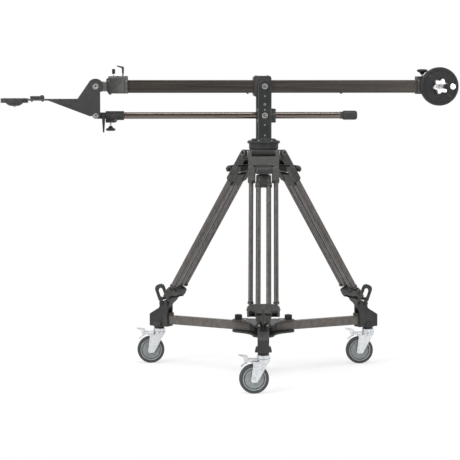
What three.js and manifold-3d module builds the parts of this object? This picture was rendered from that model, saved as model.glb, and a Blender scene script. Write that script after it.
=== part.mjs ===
// Camera jib crane on a heavy tripod and a three wheeled dolly.
// Millimetres, Z up. The boom runs along X with the camera head at minus X and the weight at plus X.
import * as THREE from "three";
import Module from "manifold-3d";
import { mergeVertices } from "three/addons/utils/BufferGeometryUtils.js";

// Shared allowances and smoothness
const fit = 0.3;
const overrun = 2;
const weldDistance = 0.0001;
const wideSides = 28;
const roundSides = 12;
const smallSides = 8;
const nutSides = 6;
const cornerSteps = 3;

// Angles in degrees
const panAtRest = 6.5;
const armAzimuths = [-90, 30, 150];
const topLeverDroop = 8;
const lowLeverDroop = 25;
const spreadTurn = 60;
const guardTurns = [45, 55, 65];
const bowlTurns = [0, 20, 40, 60];

// Casters
const wheelDiameter = 125;
const wheelWidth = 32;
const tyreShoulder = 5;
const tyreDepth = 12;
const wheelDiscInset = 4;
const wheelBossRadius = 14;
const axleRadius = 6;
const axleNutRadius = 9.5;
const axleNutThickness = 5;
const casterTrail = 39;
const kingpinCircle = 558;
const forkGap = 38;
const forkPlate = 3;
const wheelHeadroom = 8;
const forkHeadHeight = 14;
const swivelRadius = 28;
const swivelHeight = 16;
const forkFront = 22;
const forkBehindAxle = 15;
const forkFoot = 15;
const swivelPlateFront = 30;
const raceRadius = 27;
const pedalPinRadius = 3;
const pedalPinBehind = 7;
const pedalHubRadius = 6;
const pedalReach = 44;
const pedalRise = 22;
const pedalPlate = 4;
const pedalCheekMargin = 6;

// Dolly
const armHeight = 40;
const armWidth = 26;
const armLift = 12;
const armInnerEnd = 62;
const armTenon = 18;
const hubPlateThickness = 7;
const hubLowerThickness = 9;
const hubLobeCircle = 107;
const hubLobeRadius = 48;
const hubWaist = 62;
const lockKnobCircle = 130;
const lockKnobRadius = 17;
const lockKnobHeight = 21;
const lockScrewRadius = 5;
const bracketInward = 60;
const bracketOutward = 38;
const bracketWidth = 49;
const bracketWallHeight = 56;
const bracketShoulderHeight = 89;
const bracketHeight = 119;
const bracketNeckLength = 43;
const bracketPocketHeight = 60;
const bracketPocketWall = 48;
const bracketFlangeReach = 11;
const bracketFlangeHeight = 22;
const bracketFlangeInset = 32;
const bracketFlangeLength = 40;
const stemRadius = 8.5;
const stemCollarRadius = 23.5;
const stemCollarHeight = 10;
const latchPinRadius = 4;
const latchPivotInset = 32;
const latchPivotDrop = 10;
const latchPlate = 5;
const latchBarInner = 16;
const latchBarDepth = 14;
const latchBarHeight = 12;
const latchBarInset = -5;
const latchStepStart = 8;
const latchStepLength = 8;
const latchLoopInner = 29;
const latchLoopLift = -2;
const latchLoopWidth = 52;
const latchLoopLength = 74;
const latchLoopBand = 12.5;
const latchLoopCrown = 18;
const latchLoopCorner = 20;
const latchLoopFootCorner = 6;
const latchLoopThickness = 13;
const latchLoopLean = 22;

// Tripod
const crownBelowHinge = 62;
const crownAboveHinge = 15;
const crownRadius = 66;
const crownCoreRadius = 56;
const hingeCircle = 66;
const hingeHeight = 987;
const hingeLugRadius = 12;
const hingePinRadius = 6;
const legWidth = 139;
const castingThickness = 28;
const castingAboveHinge = 15;
const castingLength = 146;
const forkOpening = 106;
const forkOpeningDepth = 15;
const tongueWidth = 70;
const tongueNotch = 92;
const tongueTop = 110;
const tongueBottom = 168;
const outerTubeRadius = 10.25;
const outerTubeOffset = 54.5;
const innerTubeRadius = 11;
const innerTubeOffset = 22.5;
const lowCastingLift = 144;
const lowCastingLength = 61;
const castingCorner = 10;
const footShoulder = 11;
const footShoulderWidth = 110;
const footNeckWidth = 30;
const footNeckLength = 67;
const footSetback = 33.26;
const footClearance = 11.24;
const footThickness = 24;
const topLeverSeat = 90;
const topLeverWidth = 68;
const topLeverReach = 34;
const topLeverDrop = 45;
const topLeverShell = 11;
const lowLeverPlate = 14;
const leverPinRadius = 4;
const leverLug = 8;
const lowLeverInset = 13;
const lowLeverRadius = 33;

// Pan head and column
const panBaseRadius = 65.5;
const panBaseHeight = 25;
const turntableRadius = 72.5;
const turntableHeight = 13;
const columnFootRadius = 55;
const columnFootHeight = 9;
const yokeWidth = 61;
const yokeDepth = 90;
const yokePlate = 12;
const pivotAboveFoot = 231;
const pivotSpacing = 128;
const trunnionRadius = 10;
const panKnobRadius = 15;
const panKnobLength = 22;
const panKnobStem = 4;
const panKnobStandoff = 9;

// Boom
const boomHeight = 57;
const boomWidth = 48;
const boomWall = 3;
const boomCorner = 6;
const boomFront = 690;
const boomRear = 740;
const innerBoomHeight = 44;
const innerBoomWidth = 35;
const innerBoomCorner = 4;
const innerBoomRear = 120;
const innerShoeLength = 40;
const headReach = 48;
const earRadius = 22;
const earPinRadius = 9;
const saddleFront = 47;
const saddleRear = 31;
const saddleBelow = 45;
const saddleAbove = 47;
const saddleCorner = 12;
const collarLip = 7;
const collarLength = 94;
const collarBelow = 31;
const collarAbove = 36;
const collarWidth = 62;
const collarChamfer = 8;
const collarPlateHeight = 9;
const collarPlateInset = 9;
const pinKnobInset = 32;
const pinKnobRadius = 7;
const pinKnobLift = 10;
const pinKnobHeight = 22;
const pinStemRadius = 2.5;
const pinTipRadius = 4;
const ratchetInset = 73;
const ratchetRadius = 4.5;
const ratchetPost = 36;
const ratchetReach = 27;
const ratchetLift = 7;
const collarNubInset = 16;
const collarNubRadius = 6;
const collarNubLength = 5;

// Lower rod
const rodRadius = 15;
const rodWall = 2.5;
const rodRear = 372;
const rodCapOverlap = 16;
const rodCapLength = 62;
const rodCapRadius = 20.5;
const rodBlockFront = 28;
const rodBlockRear = 50;
const rodBlockBelow = 32;
const rodBlockAbove = 30;
const innerRodRadius = 11.5;
const innerRodRear = 150;
const rodCollarLip = 11;
const rodCollarLength = 86;
const rodCollarRadius = 20;
const rodClampLength = 51;
const rodClampDrop = 31;
const rodClampWidth = 30;
const rodKnobInset = 22;
const rodKnobRadius = 21;
const rodKnobDrop = 46;
const rodKnobHeight = 21;
const rodKnobStem = 4;
const rodKnobHubShare = 0.42;
const knuckleRadius = 14;
const knuckleWidth = 34;
const rodLeverInset = 34;
const rodLeverLength = 74;
const rodLeverHubRadius = 8;
const rodLeverTipRadius = 3;
const rodLeverThickness = 8;

// Camera head bracket
const bracketPlateWidth = 58;
const bracketCheek = 6;
const upperLobeRadius = 31;
const lowerLobeRadius = 13;
const slopeTopReach = 25;
const slopeTopRise = 24;
const slopeFootReach = 79;
const noseDrop = 54;
const noseStrip = 8;
const noseUnderReach = 207;
const underRearReach = 25;
const underRearDrop = 3;
const bracketRearInset = 20;
const webThickness = 5;
const bowlReach = 355;
const bowlRadius = 60.5;
const bowlRimStand = 2.6;
const bowlRimDepth = 20;
const bowlMouthRadius = 37.5;
const bowlNeckRadius = 34;
const bowlFootRadius = 18.5;
const bowlHoleRadius = 12;
const bowlDepth = 33.6;
const levelBlockGap = 8.5;
const levelBlockLength = 62;
const levelBlockHeight = 12;
const levelBlockWidth = 40;
const levelBumpInset = 10;
const levelBumpRadius = 7;
const levelBumpHeight = 4;

// Tail and weight
const tailGrip = 55;
const tailLength = 127;
const tailBelow = 34;
const tailAbove = 36;
const tailPlateHeight = 9;
const tailPlateLength = 52;
const tailWidth = 62;
const tailKnobInset = 28;
const tailKnobRadius = 24.5;
const tailKnobLift = 8;
const tailKnobHeight = 24;
const tailKnobStem = 5;
const tailKnobRimShare = 0.45;
const tailKnobNeckShare = 0.3;
const barInset = 30;
const barRadius = 12.5;
const barHalf = 330;
const discRadius = 85.5;
const discThickness = 26;
const discRimWidth = 12;
const discFaceInset = 3;
const discBossRadius = 26;
const starRadius = 35;
const starThickness = 30;
const starWaistShare = 0.72;
const starLobes = 6;
const starSteps = 6;
const starTurn = 12;

// Plain colours of the materials
const colours = {
  black: 0x2b2b2a,
  dark: 0x3c3b39,
  brown: 0x4a4541,
  zinc: 0xd9dcde,
  steel: 0xb9b9b6,
  rubber: 0x4b4d4e,
};

const wasm = await Module();
wasm.setup();

// Solids from closed meshes, and back
function toSolid(geometry) {
  const bare = geometry.clone();
  bare.deleteAttribute("normal");
  bare.deleteAttribute("uv");
  const welded = mergeVertices(bare, weldDistance);
  const index = welded.index.array;
  const corners = [];
  for (let i = 0; i < index.length; i += 3) {
    const [a, b, c] = index.slice(i, i + 3);
    if (a !== b && b !== c && c !== a) corners.push(a, b, c);
  }
  return new wasm.Manifold(new wasm.Mesh({
    numProp: 3,
    vertProperties: new Float32Array(welded.attributes.position.array),
    triVerts: new Uint32Array(corners),
  }));
}

function toGeometry(solid) {
  const mesh = solid.getMesh();
  const geometry = new THREE.BufferGeometry();
  geometry.setAttribute("position", new THREE.BufferAttribute(mesh.vertProperties, 3));
  geometry.setIndex(new THREE.BufferAttribute(mesh.triVerts, 1));
  geometry.computeVertexNormals();
  return geometry;
}

function join(...parts) {
  return toGeometry(parts.map(toSolid).reduce((whole, part) => whole.add(part)));
}

function cut(body, ...tools) {
  return toGeometry(tools.map(toSolid).reduce((left, tool) => left.subtract(tool), toSolid(body)));
}

// A box between two corners
function box(x0, x1, y0, y1, z0, z1) {
  const geometry = new THREE.BoxGeometry(x1 - x0, y1 - y0, z1 - z0);
  return geometry.translate((x0 + x1) / 2, (y0 + y1) / 2, (z0 + z1) / 2);
}

// A round bar along one axis
function rod(axis, radius, start, end, sides = roundSides) {
  const geometry = new THREE.CylinderGeometry(radius, radius, end - start, sides);
  geometry.translate(0, (start + end) / 2, 0);
  if (axis === "x") geometry.rotateZ(-Math.PI / 2);
  if (axis === "z") geometry.rotateX(Math.PI / 2);
  return geometry;
}

// A turned body from radius and height pairs, its axis along Y or Z
function turned(axis, profile, sides = wideSides) {
  const points = profile.map(([radius, height]) => new THREE.Vector2(radius, height));
  const geometry = new THREE.LatheGeometry(points, sides);
  return axis === "z" ? geometry.rotateX(Math.PI / 2) : geometry;
}

// Radius of a many sided bore whose flats clear a shaft
function boreFor(radius, sides = smallSides) {
  return (radius + fit) / Math.cos(Math.PI / sides);
}

// An outline pushed along one axis: X takes (y, z), Y takes (x, z), Z takes (x, y)
function prism(axis, outline, start, end) {
  const shape = Array.isArray(outline) ? polygon(outline) : outline;
  const settings = { depth: end - start, bevelEnabled: false, curveSegments: cornerSteps };
  const geometry = new THREE.ExtrudeGeometry(shape, settings);
  if (axis === "z") return geometry.translate(0, 0, start);
  if (axis === "y") return geometry.rotateX(Math.PI / 2).translate(0, end, 0);
  const turn = new THREE.Matrix4().set(0, 0, 1, 0, 1, 0, 0, 0, 0, 1, 0, 0, 0, 0, 0, 1);
  return geometry.applyMatrix4(turn).translate(start, 0, 0);
}

function polygon(points) {
  return new THREE.Shape(points.map(([u, v]) => new THREE.Vector2(u, v)));
}

// A rectangle with rounded corners, which may be smaller on its lower side
function roundedRectangle(u0, u1, v0, v1, radius, lower = radius) {
  const shape = new THREE.Shape();
  shape.absarc(u1 - lower, v0 + lower, lower, -Math.PI / 2, 0);
  shape.absarc(u1 - radius, v1 - radius, radius, 0, Math.PI / 2);
  shape.absarc(u0 + radius, v1 - radius, radius, Math.PI / 2, Math.PI);
  shape.absarc(u0 + lower, v0 + lower, lower, Math.PI, 3 * Math.PI / 2);
  shape.closePath();
  return shape;
}

// A rectangular bar with rounded edges along X, centred on Y
function boomBar(x0, x1, width, height, corner) {
  const low = topPivotHeight - height / 2;
  const high = topPivotHeight + height / 2;
  return prism("x", roundedRectangle(-width / 2, width / 2, low, high, corner), x0, x1);
}

function mesh(name, geometry, colour, roughness, metalness) {
  const material = new THREE.MeshStandardMaterial({ color: colour, roughness, metalness });
  const node = new THREE.Mesh(geometry, material);
  node.name = name;
  return node;
}

const painted = (name, geometry) => mesh(name, geometry, colours.black, 0.55, 0.2);
const anodised = (name, geometry) => mesh(name, geometry, colours.brown, 0.45, 0.6);
const plastic = (name, geometry) => mesh(name, geometry, colours.dark, 0.6, 0);
const plated = (name, geometry) => mesh(name, geometry, colours.zinc, 0.3, 0.9);
const bright = (name, geometry) => mesh(name, geometry, colours.steel, 0.25, 1);

const radians = THREE.MathUtils.degToRad;

// Places along the casters and the dolly
const forkCrownBottom = wheelDiameter + wheelHeadroom;
const forkTopPlateTop = forkCrownBottom + forkHeadHeight;
const forkBack = casterTrail + forkBehindAxle;
const pedalPinBack = forkBack + pedalPinBehind;
const pedalCheekReach = pedalPinBack + pedalCheekMargin;
const stemCollarBottom = forkTopPlateTop + swivelHeight;
const bracketBottom = stemCollarBottom + stemCollarHeight;
const bracketWallTop = bracketBottom + bracketWallHeight;
const bracketShoulder = bracketBottom + bracketShoulderHeight;
const bracketTop = bracketBottom + bracketHeight;
const bracketInner = kingpinCircle - bracketInward;
const bracketOuter = kingpinCircle + bracketOutward;
const bracketNeckOuter = bracketInner + bracketNeckLength;
const bracketPocketFloor = bracketBottom + bracketPocketHeight;
const bracketPocketOuter = bracketOuter - bracketPocketWall;
const bracketFlangeInner = bracketInner + bracketFlangeInset;
const bracketFlangeOuter = bracketFlangeInner + bracketFlangeLength;
const latchPivotRadius = bracketInner + latchPivotInset;
const latchPivotHeight = bracketTop - latchPivotDrop;
const armBottom = bracketBottom + armLift;
const armTop = armBottom + armHeight;

// Places along the legs, measured down from the hinge
const legRise = hingeHeight - bracketPocketFloor - footClearance;
const legRun = kingpinCircle - footSetback - hingeCircle;
const legAngle = Math.atan2(legRun, legRise);
const footTip = Math.hypot(legRun, legRise);
const footNeckStart = footTip - footNeckLength;
const lowCastingTop = footTip - lowCastingLift;
const lowCastingBottom = lowCastingTop + lowCastingLength;
const lowLeverSeat = lowCastingTop + lowLeverInset;

// Heights from the tripod's crown up to the boom
const crownBottom = hingeHeight - crownBelowHinge;
const crownTop = hingeHeight + crownAboveHinge;
const panBaseTop = crownTop + panBaseHeight;
const turntableTop = panBaseTop + turntableHeight;
const columnFootTop = turntableTop + columnFootHeight;
const topPivotHeight = columnFootTop + pivotAboveFoot;
const lowerPivotHeight = topPivotHeight - pivotSpacing;

// Places along the boom
const saddleBottom = topPivotHeight - saddleBelow;
const saddleTop = topPivotHeight + saddleAbove;
const collarFront = boomFront + collarLip;
const collarRear = collarFront - collarLength;
const collarBottom = topPivotHeight - collarBelow;
const collarTop = topPivotHeight + collarAbove;
const collarPlateTop = collarTop + collarPlateHeight;
const collarPlateFront = collarFront - collarPlateInset;
const pinKnobPlace = collarFront - pinKnobInset;
const pinKnobBottom = collarPlateTop + pinKnobLift;
const pinKnobTop = pinKnobBottom + pinKnobHeight;
const ratchetPlace = collarFront - ratchetInset;
const ratchetBend = collarPlateTop + ratchetPost;
const collarNubPlace = collarFront - collarNubInset;
const headPivot = collarFront + headReach;
const tailFront = boomRear - tailGrip;
const tailRear = tailFront + tailLength;
const tailBottom = topPivotHeight - tailBelow;
const tailTop = topPivotHeight + tailAbove;
const tailPlateTop = tailTop + tailPlateHeight;
const tailPlateRear = tailFront + tailPlateLength;
const tailKnobPlace = tailFront + tailKnobInset;
const tailKnobBottom = tailPlateTop + tailKnobLift;
const tailKnobTop = tailKnobBottom + tailKnobHeight;
const barPlace = tailRear - barInset;

// Places along the lower rod
const rodFront = boomFront;
const rodCapFront = rodRear - rodCapOverlap;
const rodCapRear = rodCapFront + rodCapLength;
const rodCollarFront = rodFront + rodCollarLip;
const rodCollarRear = rodCollarFront - rodCollarLength;
const rodClampRear = rodCollarFront - rodClampLength;
const rodKnobPlace = rodCollarFront - rodKnobInset;
const rodKnobTop = lowerPivotHeight - rodKnobDrop;
const rodKnobBottom = rodKnobTop - rodKnobHeight;
const rodLeverPlace = headPivot - rodLeverInset;

// Places on the head bracket
const slopeTopX = headPivot + slopeTopReach;
const slopeTopZ = topPivotHeight + slopeTopRise;
const slopeFootX = headPivot + slopeFootReach;
const noseTop = topPivotHeight - noseDrop;
const noseUnderX = headPivot + noseUnderReach;
const underRearX = headPivot + underRearReach;
const underRearZ = lowerPivotHeight - underRearDrop;
const bracketRearX = headPivot - bracketRearInset;
const bowlCentre = headPivot + bowlReach;
const bowlRim = noseTop + bowlRimStand;
const bowlBottom = bowlRim - bowlDepth;
const levelBlockFront = bowlCentre - bowlRadius - levelBlockGap;
const levelBlockRear = levelBlockFront - levelBlockLength;
const levelBumpPlace = levelBlockRear + levelBumpInset;

const yokeGap = yokeDepth - 2 * yokePlate;
const blockHalf = yokeGap / 2 - fit;
const rodLeverStart = bracketPlateWidth / 2 + fit;
const leverStand = castingThickness / 2 + 3 * leverPinRadius;

// Caster wheel, turned about its axle
function casterWheel() {
  const outer = wheelDiameter / 2;
  const half = wheelWidth / 2;
  const disc = half - wheelDiscInset;
  const boss = forkGap / 2 - fit;
  const bore = boreFor(axleRadius, wideSides);
  const rim = outer - tyreDepth;
  const side = [
    [outer, half - tyreShoulder],
    [outer - tyreShoulder, half],
    [rim, half],
    [rim - wheelDiscInset, disc],
    [wheelBossRadius, disc],
    [wheelBossRadius, boss],
    [bore, boss],
  ];
  const lower = side.map(([radius, height]) => [radius, -height]).reverse();
  const wheel = turned("y", [...lower, ...side, lower[0]]);
  return wheel.translate(-casterTrail, 0, outer);
}

// Caster fork: two tapered legs, a crown, the plate that carries the pedal and the swivel head above it
function casterFork() {
  const axleHeight = wheelDiameter / 2;
  const legTop = forkCrownBottom + forkPlate;
  const legOutline = [
    [forkFront, legTop],
    [-forkBack, legTop],
    [-casterTrail - axleRadius, wheelDiameter],
    [-casterTrail - forkFoot, axleHeight - axleNutRadius],
    [-casterTrail - forkFoot + axleRadius, axleHeight - forkFoot],
    [-casterTrail + forkFoot - axleRadius / 2, axleHeight - forkFoot],
    [-casterTrail + forkFoot + axleRadius, axleHeight],
  ];
  const inner = forkGap / 2;
  const outer = inner + forkPlate;
  const plateBottom = forkTopPlateTop - forkPlate;
  const swivelTop = stemCollarBottom - fit;
  const nutEnd = outer + axleNutThickness;
  const axle = rod("y", axleRadius, -nutEnd, nutEnd).translate(-casterTrail, 0, axleHeight);
  const nut = (side) => rod("y", axleNutRadius, 0, axleNutThickness, nutSides)
    .translate(-casterTrail, side > 0 ? outer : -nutEnd, axleHeight);
  const pinHeight = plateBottom - pedalPinRadius;
  const pin = rod("y", pedalPinRadius, -inner, inner, smallSides)
    .translate(-pedalPinBack, 0, pinHeight);
  const cheek = (low) => box(-pedalCheekReach, -forkBack + overrun, low, low + forkPlate,
    forkCrownBottom, forkTopPlateTop);
  const body = join(
    prism("y", legOutline, inner, outer),
    prism("y", legOutline, -outer, -inner),
    box(-forkBack, forkFront, -outer, outer, forkCrownBottom, legTop),
    rod("z", raceRadius, forkCrownBottom, plateBottom),
    rod("z", swivelRadius, plateBottom, swivelTop),
    box(-forkBack, swivelPlateFront, -outer, outer, plateBottom, forkTopPlateTop),
    cheek(inner - forkPlate),
    cheek(-inner),
    pin,
    axle,
    nut(1),
    nut(-1),
  );
  const bore = boreFor(stemRadius, roundSides);
  return cut(body, rod("z", bore, forkCrownBottom - overrun, swivelTop + overrun));
}

// Brake pedal: a hub on the pin, a tread above it and a guard that follows the tyre
function brakePedal() {
  const pinHeight = forkTopPlateTop - forkPlate - pedalPinRadius;
  const half = forkGap / 2 - forkPlate - fit;
  const guardRadius = wheelDiameter / 2 + pedalHubRadius + pedalPlate;
  const wheelHeight = wheelDiameter / 2;
  const guardPoint = (turn, radius) => [
    -casterTrail - radius * Math.cos(turn),
    wheelHeight + radius * Math.sin(turn),
  ];
  const turns = guardTurns.map(radians);
  const last = turns.at(-1);
  const guard = [
    ...turns.map((turn) => guardPoint(turn, guardRadius)),
    ...turns.reverse().map((turn) => guardPoint(turn, guardRadius + pedalPlate)),
  ];
  const tread = [
    [-pedalPinBack - pedalHubRadius, pinHeight - pedalHubRadius],
    [-pedalPinBack, pinHeight + pedalHubRadius],
    [-pedalPinBack - pedalHubRadius, forkTopPlateTop + pedalHubRadius],
    [-pedalPinBack - pedalHubRadius, forkTopPlateTop + pedalRise / 2],
    [-pedalPinBack - pedalReach, pinHeight + pedalRise],
    [-pedalPinBack - pedalReach, pinHeight + pedalRise - pedalPlate],
    [-pedalPinBack - pedalReach / 2, pinHeight + pedalHubRadius],
    [-pedalPinBack - pedalReach / 2, pinHeight - pedalHubRadius],
    guardPoint(last, guardRadius),
  ];
  const hub = rod("y", pedalHubRadius, -half, half, smallSides)
    .translate(-pedalPinBack, 0, pinHeight);
  const bore = rod("y", boreFor(pedalPinRadius), -forkGap, forkGap, smallSides);
  return cut(
    join(hub, prism("y", tread, -half, half), prism("y", guard, -half, half)),
    bore.translate(-pedalPinBack, 0, pinHeight),
  );
}

// Three lobed hub plate
function hubPlate(bottom, top) {
  const shape = new THREE.Shape();
  for (const azimuth of armAzimuths) {
    const turn = radians(azimuth);
    const x = hubLobeCircle * Math.cos(turn);
    const y = hubLobeCircle * Math.sin(turn);
    shape.absarc(x, y, hubLobeRadius, turn - Math.PI / 2, turn + Math.PI / 2);
    const valley = turn + radians(spreadTurn);
    const waist = [hubWaist * Math.cos(valley), hubWaist * Math.sin(valley)];
    const next = valley + radians(spreadTurn);
    const side = next - Math.PI / 2;
    shape.quadraticCurveTo(
      ...waist,
      hubLobeCircle * Math.cos(next) + hubLobeRadius * Math.cos(side),
      hubLobeCircle * Math.sin(next) + hubLobeRadius * Math.sin(side),
    );
  }
  const holes = armAzimuths.map((azimuth) =>
    rod("z", boreFor(lockScrewRadius), bottom - overrun, top + overrun, smallSides)
      .translate(lockKnobCircle, 0, 0)
      .rotateZ(radians(azimuth)));
  return cut(prism("z", shape, bottom, top), ...holes);
}

// Straight arm of the dolly, in its own radial frame
function dollyArm() {
  const bar = box(armInnerEnd, bracketInner + armTenon, -armWidth / 2, armWidth / 2, armBottom, armTop);
  const hole = rod("z", boreFor(lockScrewRadius), armBottom - overrun, armTop + overrun, smallSides);
  return cut(bar, hole.translate(lockKnobCircle, 0, 0));
}

// Clamp knob whose screw passes through both hub plates and the arm
function armLockKnob() {
  const seat = armTop + hubPlateThickness + fit;
  const screwEnd = armBottom - hubLowerThickness;
  return join(
    rod("z", lockKnobRadius, seat, seat + lockKnobHeight),
    rod("z", lockScrewRadius, screwEnd, seat + lockKnobHeight / 2, smallSides),
  ).translate(lockKnobCircle, 0, 0);
}

// Bracket at the arm's end: a pocket for the tripod foot above, the caster's stem below
function footBracket() {
  const half = bracketWidth / 2;
  const outline = [
    [bracketInner, bracketBottom],
    [bracketOuter, bracketBottom],
    [bracketOuter, bracketWallTop],
    [bracketNeckOuter, bracketShoulder],
    [bracketNeckOuter, bracketTop],
    [bracketInner, bracketTop],
  ];
  const flange = box(
    bracketFlangeInner, bracketFlangeOuter,
    -half - bracketFlangeReach, half + bracketFlangeReach,
    bracketBottom, bracketBottom + bracketFlangeHeight,
  );
  const stem = rod("z", stemRadius, forkCrownBottom, bracketBottom + overrun);
  const collar = rod("z", stemCollarRadius, stemCollarBottom, bracketBottom + overrun);
  const pinEnd = half + fit + latchPlate;
  const pin = (low) => rod("y", latchPinRadius, low, low + latchPlate + fit + overrun, smallSides)
    .translate(latchPivotRadius, 0, latchPivotHeight);
  const pocketHalf = footNeckWidth / 2 + fit;
  const pocket = box(
    bracketInner - overrun, bracketPocketOuter, -pocketHalf, pocketHalf,
    bracketPocketFloor, bracketTop + overrun,
  );
  const mouth = box(
    bracketInner - overrun, bracketInner + armTenon + fit,
    -armWidth / 2 - fit, armWidth / 2 + fit,
    armBottom, armTop + fit,
  );
  const body = cut(join(
    prism("y", outline, -half, half),
    flange,
    stem.translate(kingpinCircle, 0, 0),
    collar.translate(kingpinCircle, 0, 0),
  ), pocket, mouth);
  return join(body, pin(half - overrun), pin(-pinEnd));
}

// Loop handle that latches the foot: two cheeks on the pivot, a bar above the foot and the loop
function footLatch() {
  const half = bracketWidth / 2 + fit;
  const end = half + latchPlate;
  const hub = latchPinRadius + latchPlate;
  const barHalf = latchBarDepth / 2;
  const barBack = latchBarInset - barHalf;
  const barTop = latchBarInner + latchBarHeight;
  const cheekOutline = [
    [-barHalf, 0],
    [barHalf, 0],
    [barHalf, barTop],
    [barBack, barTop],
    [barBack, latchStepStart + latchStepLength],
    [-barHalf, latchStepStart],
  ];
  const cheek = (low) => join(
    prism("y", cheekOutline, low, low + latchPlate),
    rod("y", hub, low, low + latchPlate),
  );
  const loopStart = latchBarInner + latchLoopLift;
  const loopTop = loopStart + latchLoopLength;
  const loopOuter = latchLoopWidth - latchLoopInner;
  const loopShape = roundedRectangle(-latchLoopInner, loopOuter, loopStart, loopTop,
    latchLoopCorner, latchLoopFootCorner);
  loopShape.holes.push(roundedRectangle(latchLoopBand - latchLoopInner, loopOuter - latchLoopBand,
    loopStart + latchLoopBand, loopTop - latchLoopCrown, latchLoopBand));
  const loop = prism("y", loopShape, -latchLoopThickness / 2, latchLoopThickness / 2)
    .rotateY(radians(latchLoopLean));
  const bar = box(barBack, barHalf, -end, end, latchBarInner, barTop);
  const bore = rod("y", boreFor(latchPinRadius), -end - overrun, end + overrun, smallSides);
  return cut(join(cheek(half), cheek(-end), bar, loop), bore);
}

// Crown of the tripod with a hinge lug toward each leg
function tripodCrown() {
  const lugHalf = forkOpening / 2 - fit;
  const lugs = armAzimuths.map((azimuth) => {
    const arm = box(0, hingeCircle, -lugHalf, lugHalf, hingeHeight - hingeLugRadius,
      hingeHeight + hingeLugRadius);
    const knuckle = rod("y", hingeLugRadius, -lugHalf, lugHalf).translate(hingeCircle, 0, hingeHeight);
    const pinHalf = legWidth / 2;
    const pin = rod("y", hingePinRadius, -pinHalf, pinHalf, smallSides)
      .translate(hingeCircle, 0, hingeHeight);
    return join(arm, knuckle, pin).rotateZ(radians(azimuth));
  });
  const core = rod("z", crownCoreRadius, crownBottom, crownTop - overrun, wideSides);
  const rim = rod("z", crownRadius, hingeHeight - hingeLugRadius, crownTop, wideSides);
  return join(core, rim, ...lugs);
}

// Half round clamp lever on its pin, hanging from the pivot at the origin
function halfRoundLever(radius, thickness) {
  const shape = new THREE.Shape();
  shape.absarc(0, 0, radius, Math.PI, 2 * Math.PI);
  shape.closePath();
  const hubHalf = tongueWidth / 2 - leverLug - fit;
  const hub = rod("y", 2 * leverPinRadius, -hubHalf, hubHalf, smallSides);
  const blade = prism("x", shape, -thickness / 2, thickness / 2);
  const bore = rod("y", boreFor(leverPinRadius), -radius - overrun, radius + overrun, smallSides);
  const room = leverLug + 2 * fit;
  const roomBottom = -2 * leverPinRadius - leverLug;
  const lugRoom = (low) => box(-thickness, thickness, low, low + room, roomBottom, thickness);
  return cut(join(blade, hub), bore, lugRoom(hubHalf), lugRoom(-hubHalf - room));
}

// Hooded clamp lever that slopes outward from its pin at the origin and hooks down at the edge
function hoodedLever() {
  const hub = 2 * leverPinRadius;
  const inner = topLeverReach - topLeverShell;
  const crest = leverPinRadius + overrun;
  const eave = -topLeverShell - leverPinRadius;
  const profile = [
    [-hub, 0],
    [-leverPinRadius, crest],
    [leverPinRadius, crest],
    [hub + leverPinRadius, 0],
    [inner - leverPinRadius, -hub],
    [topLeverReach - leverPinRadius, eave],
    [topLeverReach, -topLeverDrop / 2],
    [topLeverReach - overrun, topLeverShell - topLeverDrop],
    [inner, -topLeverDrop],
    [2 * hub, leverPinRadius - topLeverDrop],
    [inner, topLeverShell - topLeverDrop],
    [inner, -topLeverDrop / 2],
    [2 * hub, eave],
    [hub, -hub],
  ];
  const half = topLeverWidth / 2;
  const dome = [
    [hub + leverPinRadius - half, -topLeverDrop - overrun],
    [half - hub - leverPinRadius, -topLeverDrop - overrun],
    [half - leverPinRadius, hub - topLeverDrop],
    [half, 2 * hub - topLeverDrop],
    [half, -hub],
    [half - hub, 0],
    [half / 2, hub],
    [-half / 2, hub],
    [hub - half, 0],
    [-half, -hub],
    [-half, 2 * hub - topLeverDrop],
    [leverPinRadius - half, hub - topLeverDrop],
  ];
  const hubHalf = tongueWidth / 2 - leverLug - fit;
  const blade = toGeometry(toSolid(prism("y", profile, -half, half))
    .intersect(toSolid(prism("x", dome, -topLeverReach, topLeverReach + overrun))));
  const bore = rod("y", boreFor(leverPinRadius), -half - overrun, half + overrun, smallSides);
  const roomRadius = 2 * leverLug - fit;
  const room = (low) => rod("y", roomRadius, low, low + half, roundSides);
  const shell = cut(blade, room(hubHalf), room(-hubHalf - half));
  return cut(join(shell, rod("y", hub, -hubHalf, hubHalf, smallSides)), bore);
}

// Lugs and pin that carry a lever, standing off a face of the leg
function leverSeat(side, seat) {
  const face = castingThickness / 2;
  const reach = [
    [side * (face - overrun), -seat - leverLug],
    [side * leverStand, -seat - leverPinRadius - overrun],
    [side * (leverStand + 2 * leverPinRadius), -seat],
    [side * leverStand, -seat + leverPinRadius + overrun],
    [side * (face - overrun), -seat + leverLug],
  ];
  const inner = tongueWidth / 2 - leverLug;
  const lug = (low) => prism("y", reach, low, low + leverLug);
  const pin = rod("y", leverPinRadius, -inner - leverLug, inner + leverLug, smallSides)
    .translate(side * leverStand, 0, -seat);
  return join(lug(inner), lug(-inner - leverLug), pin);
}

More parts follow.
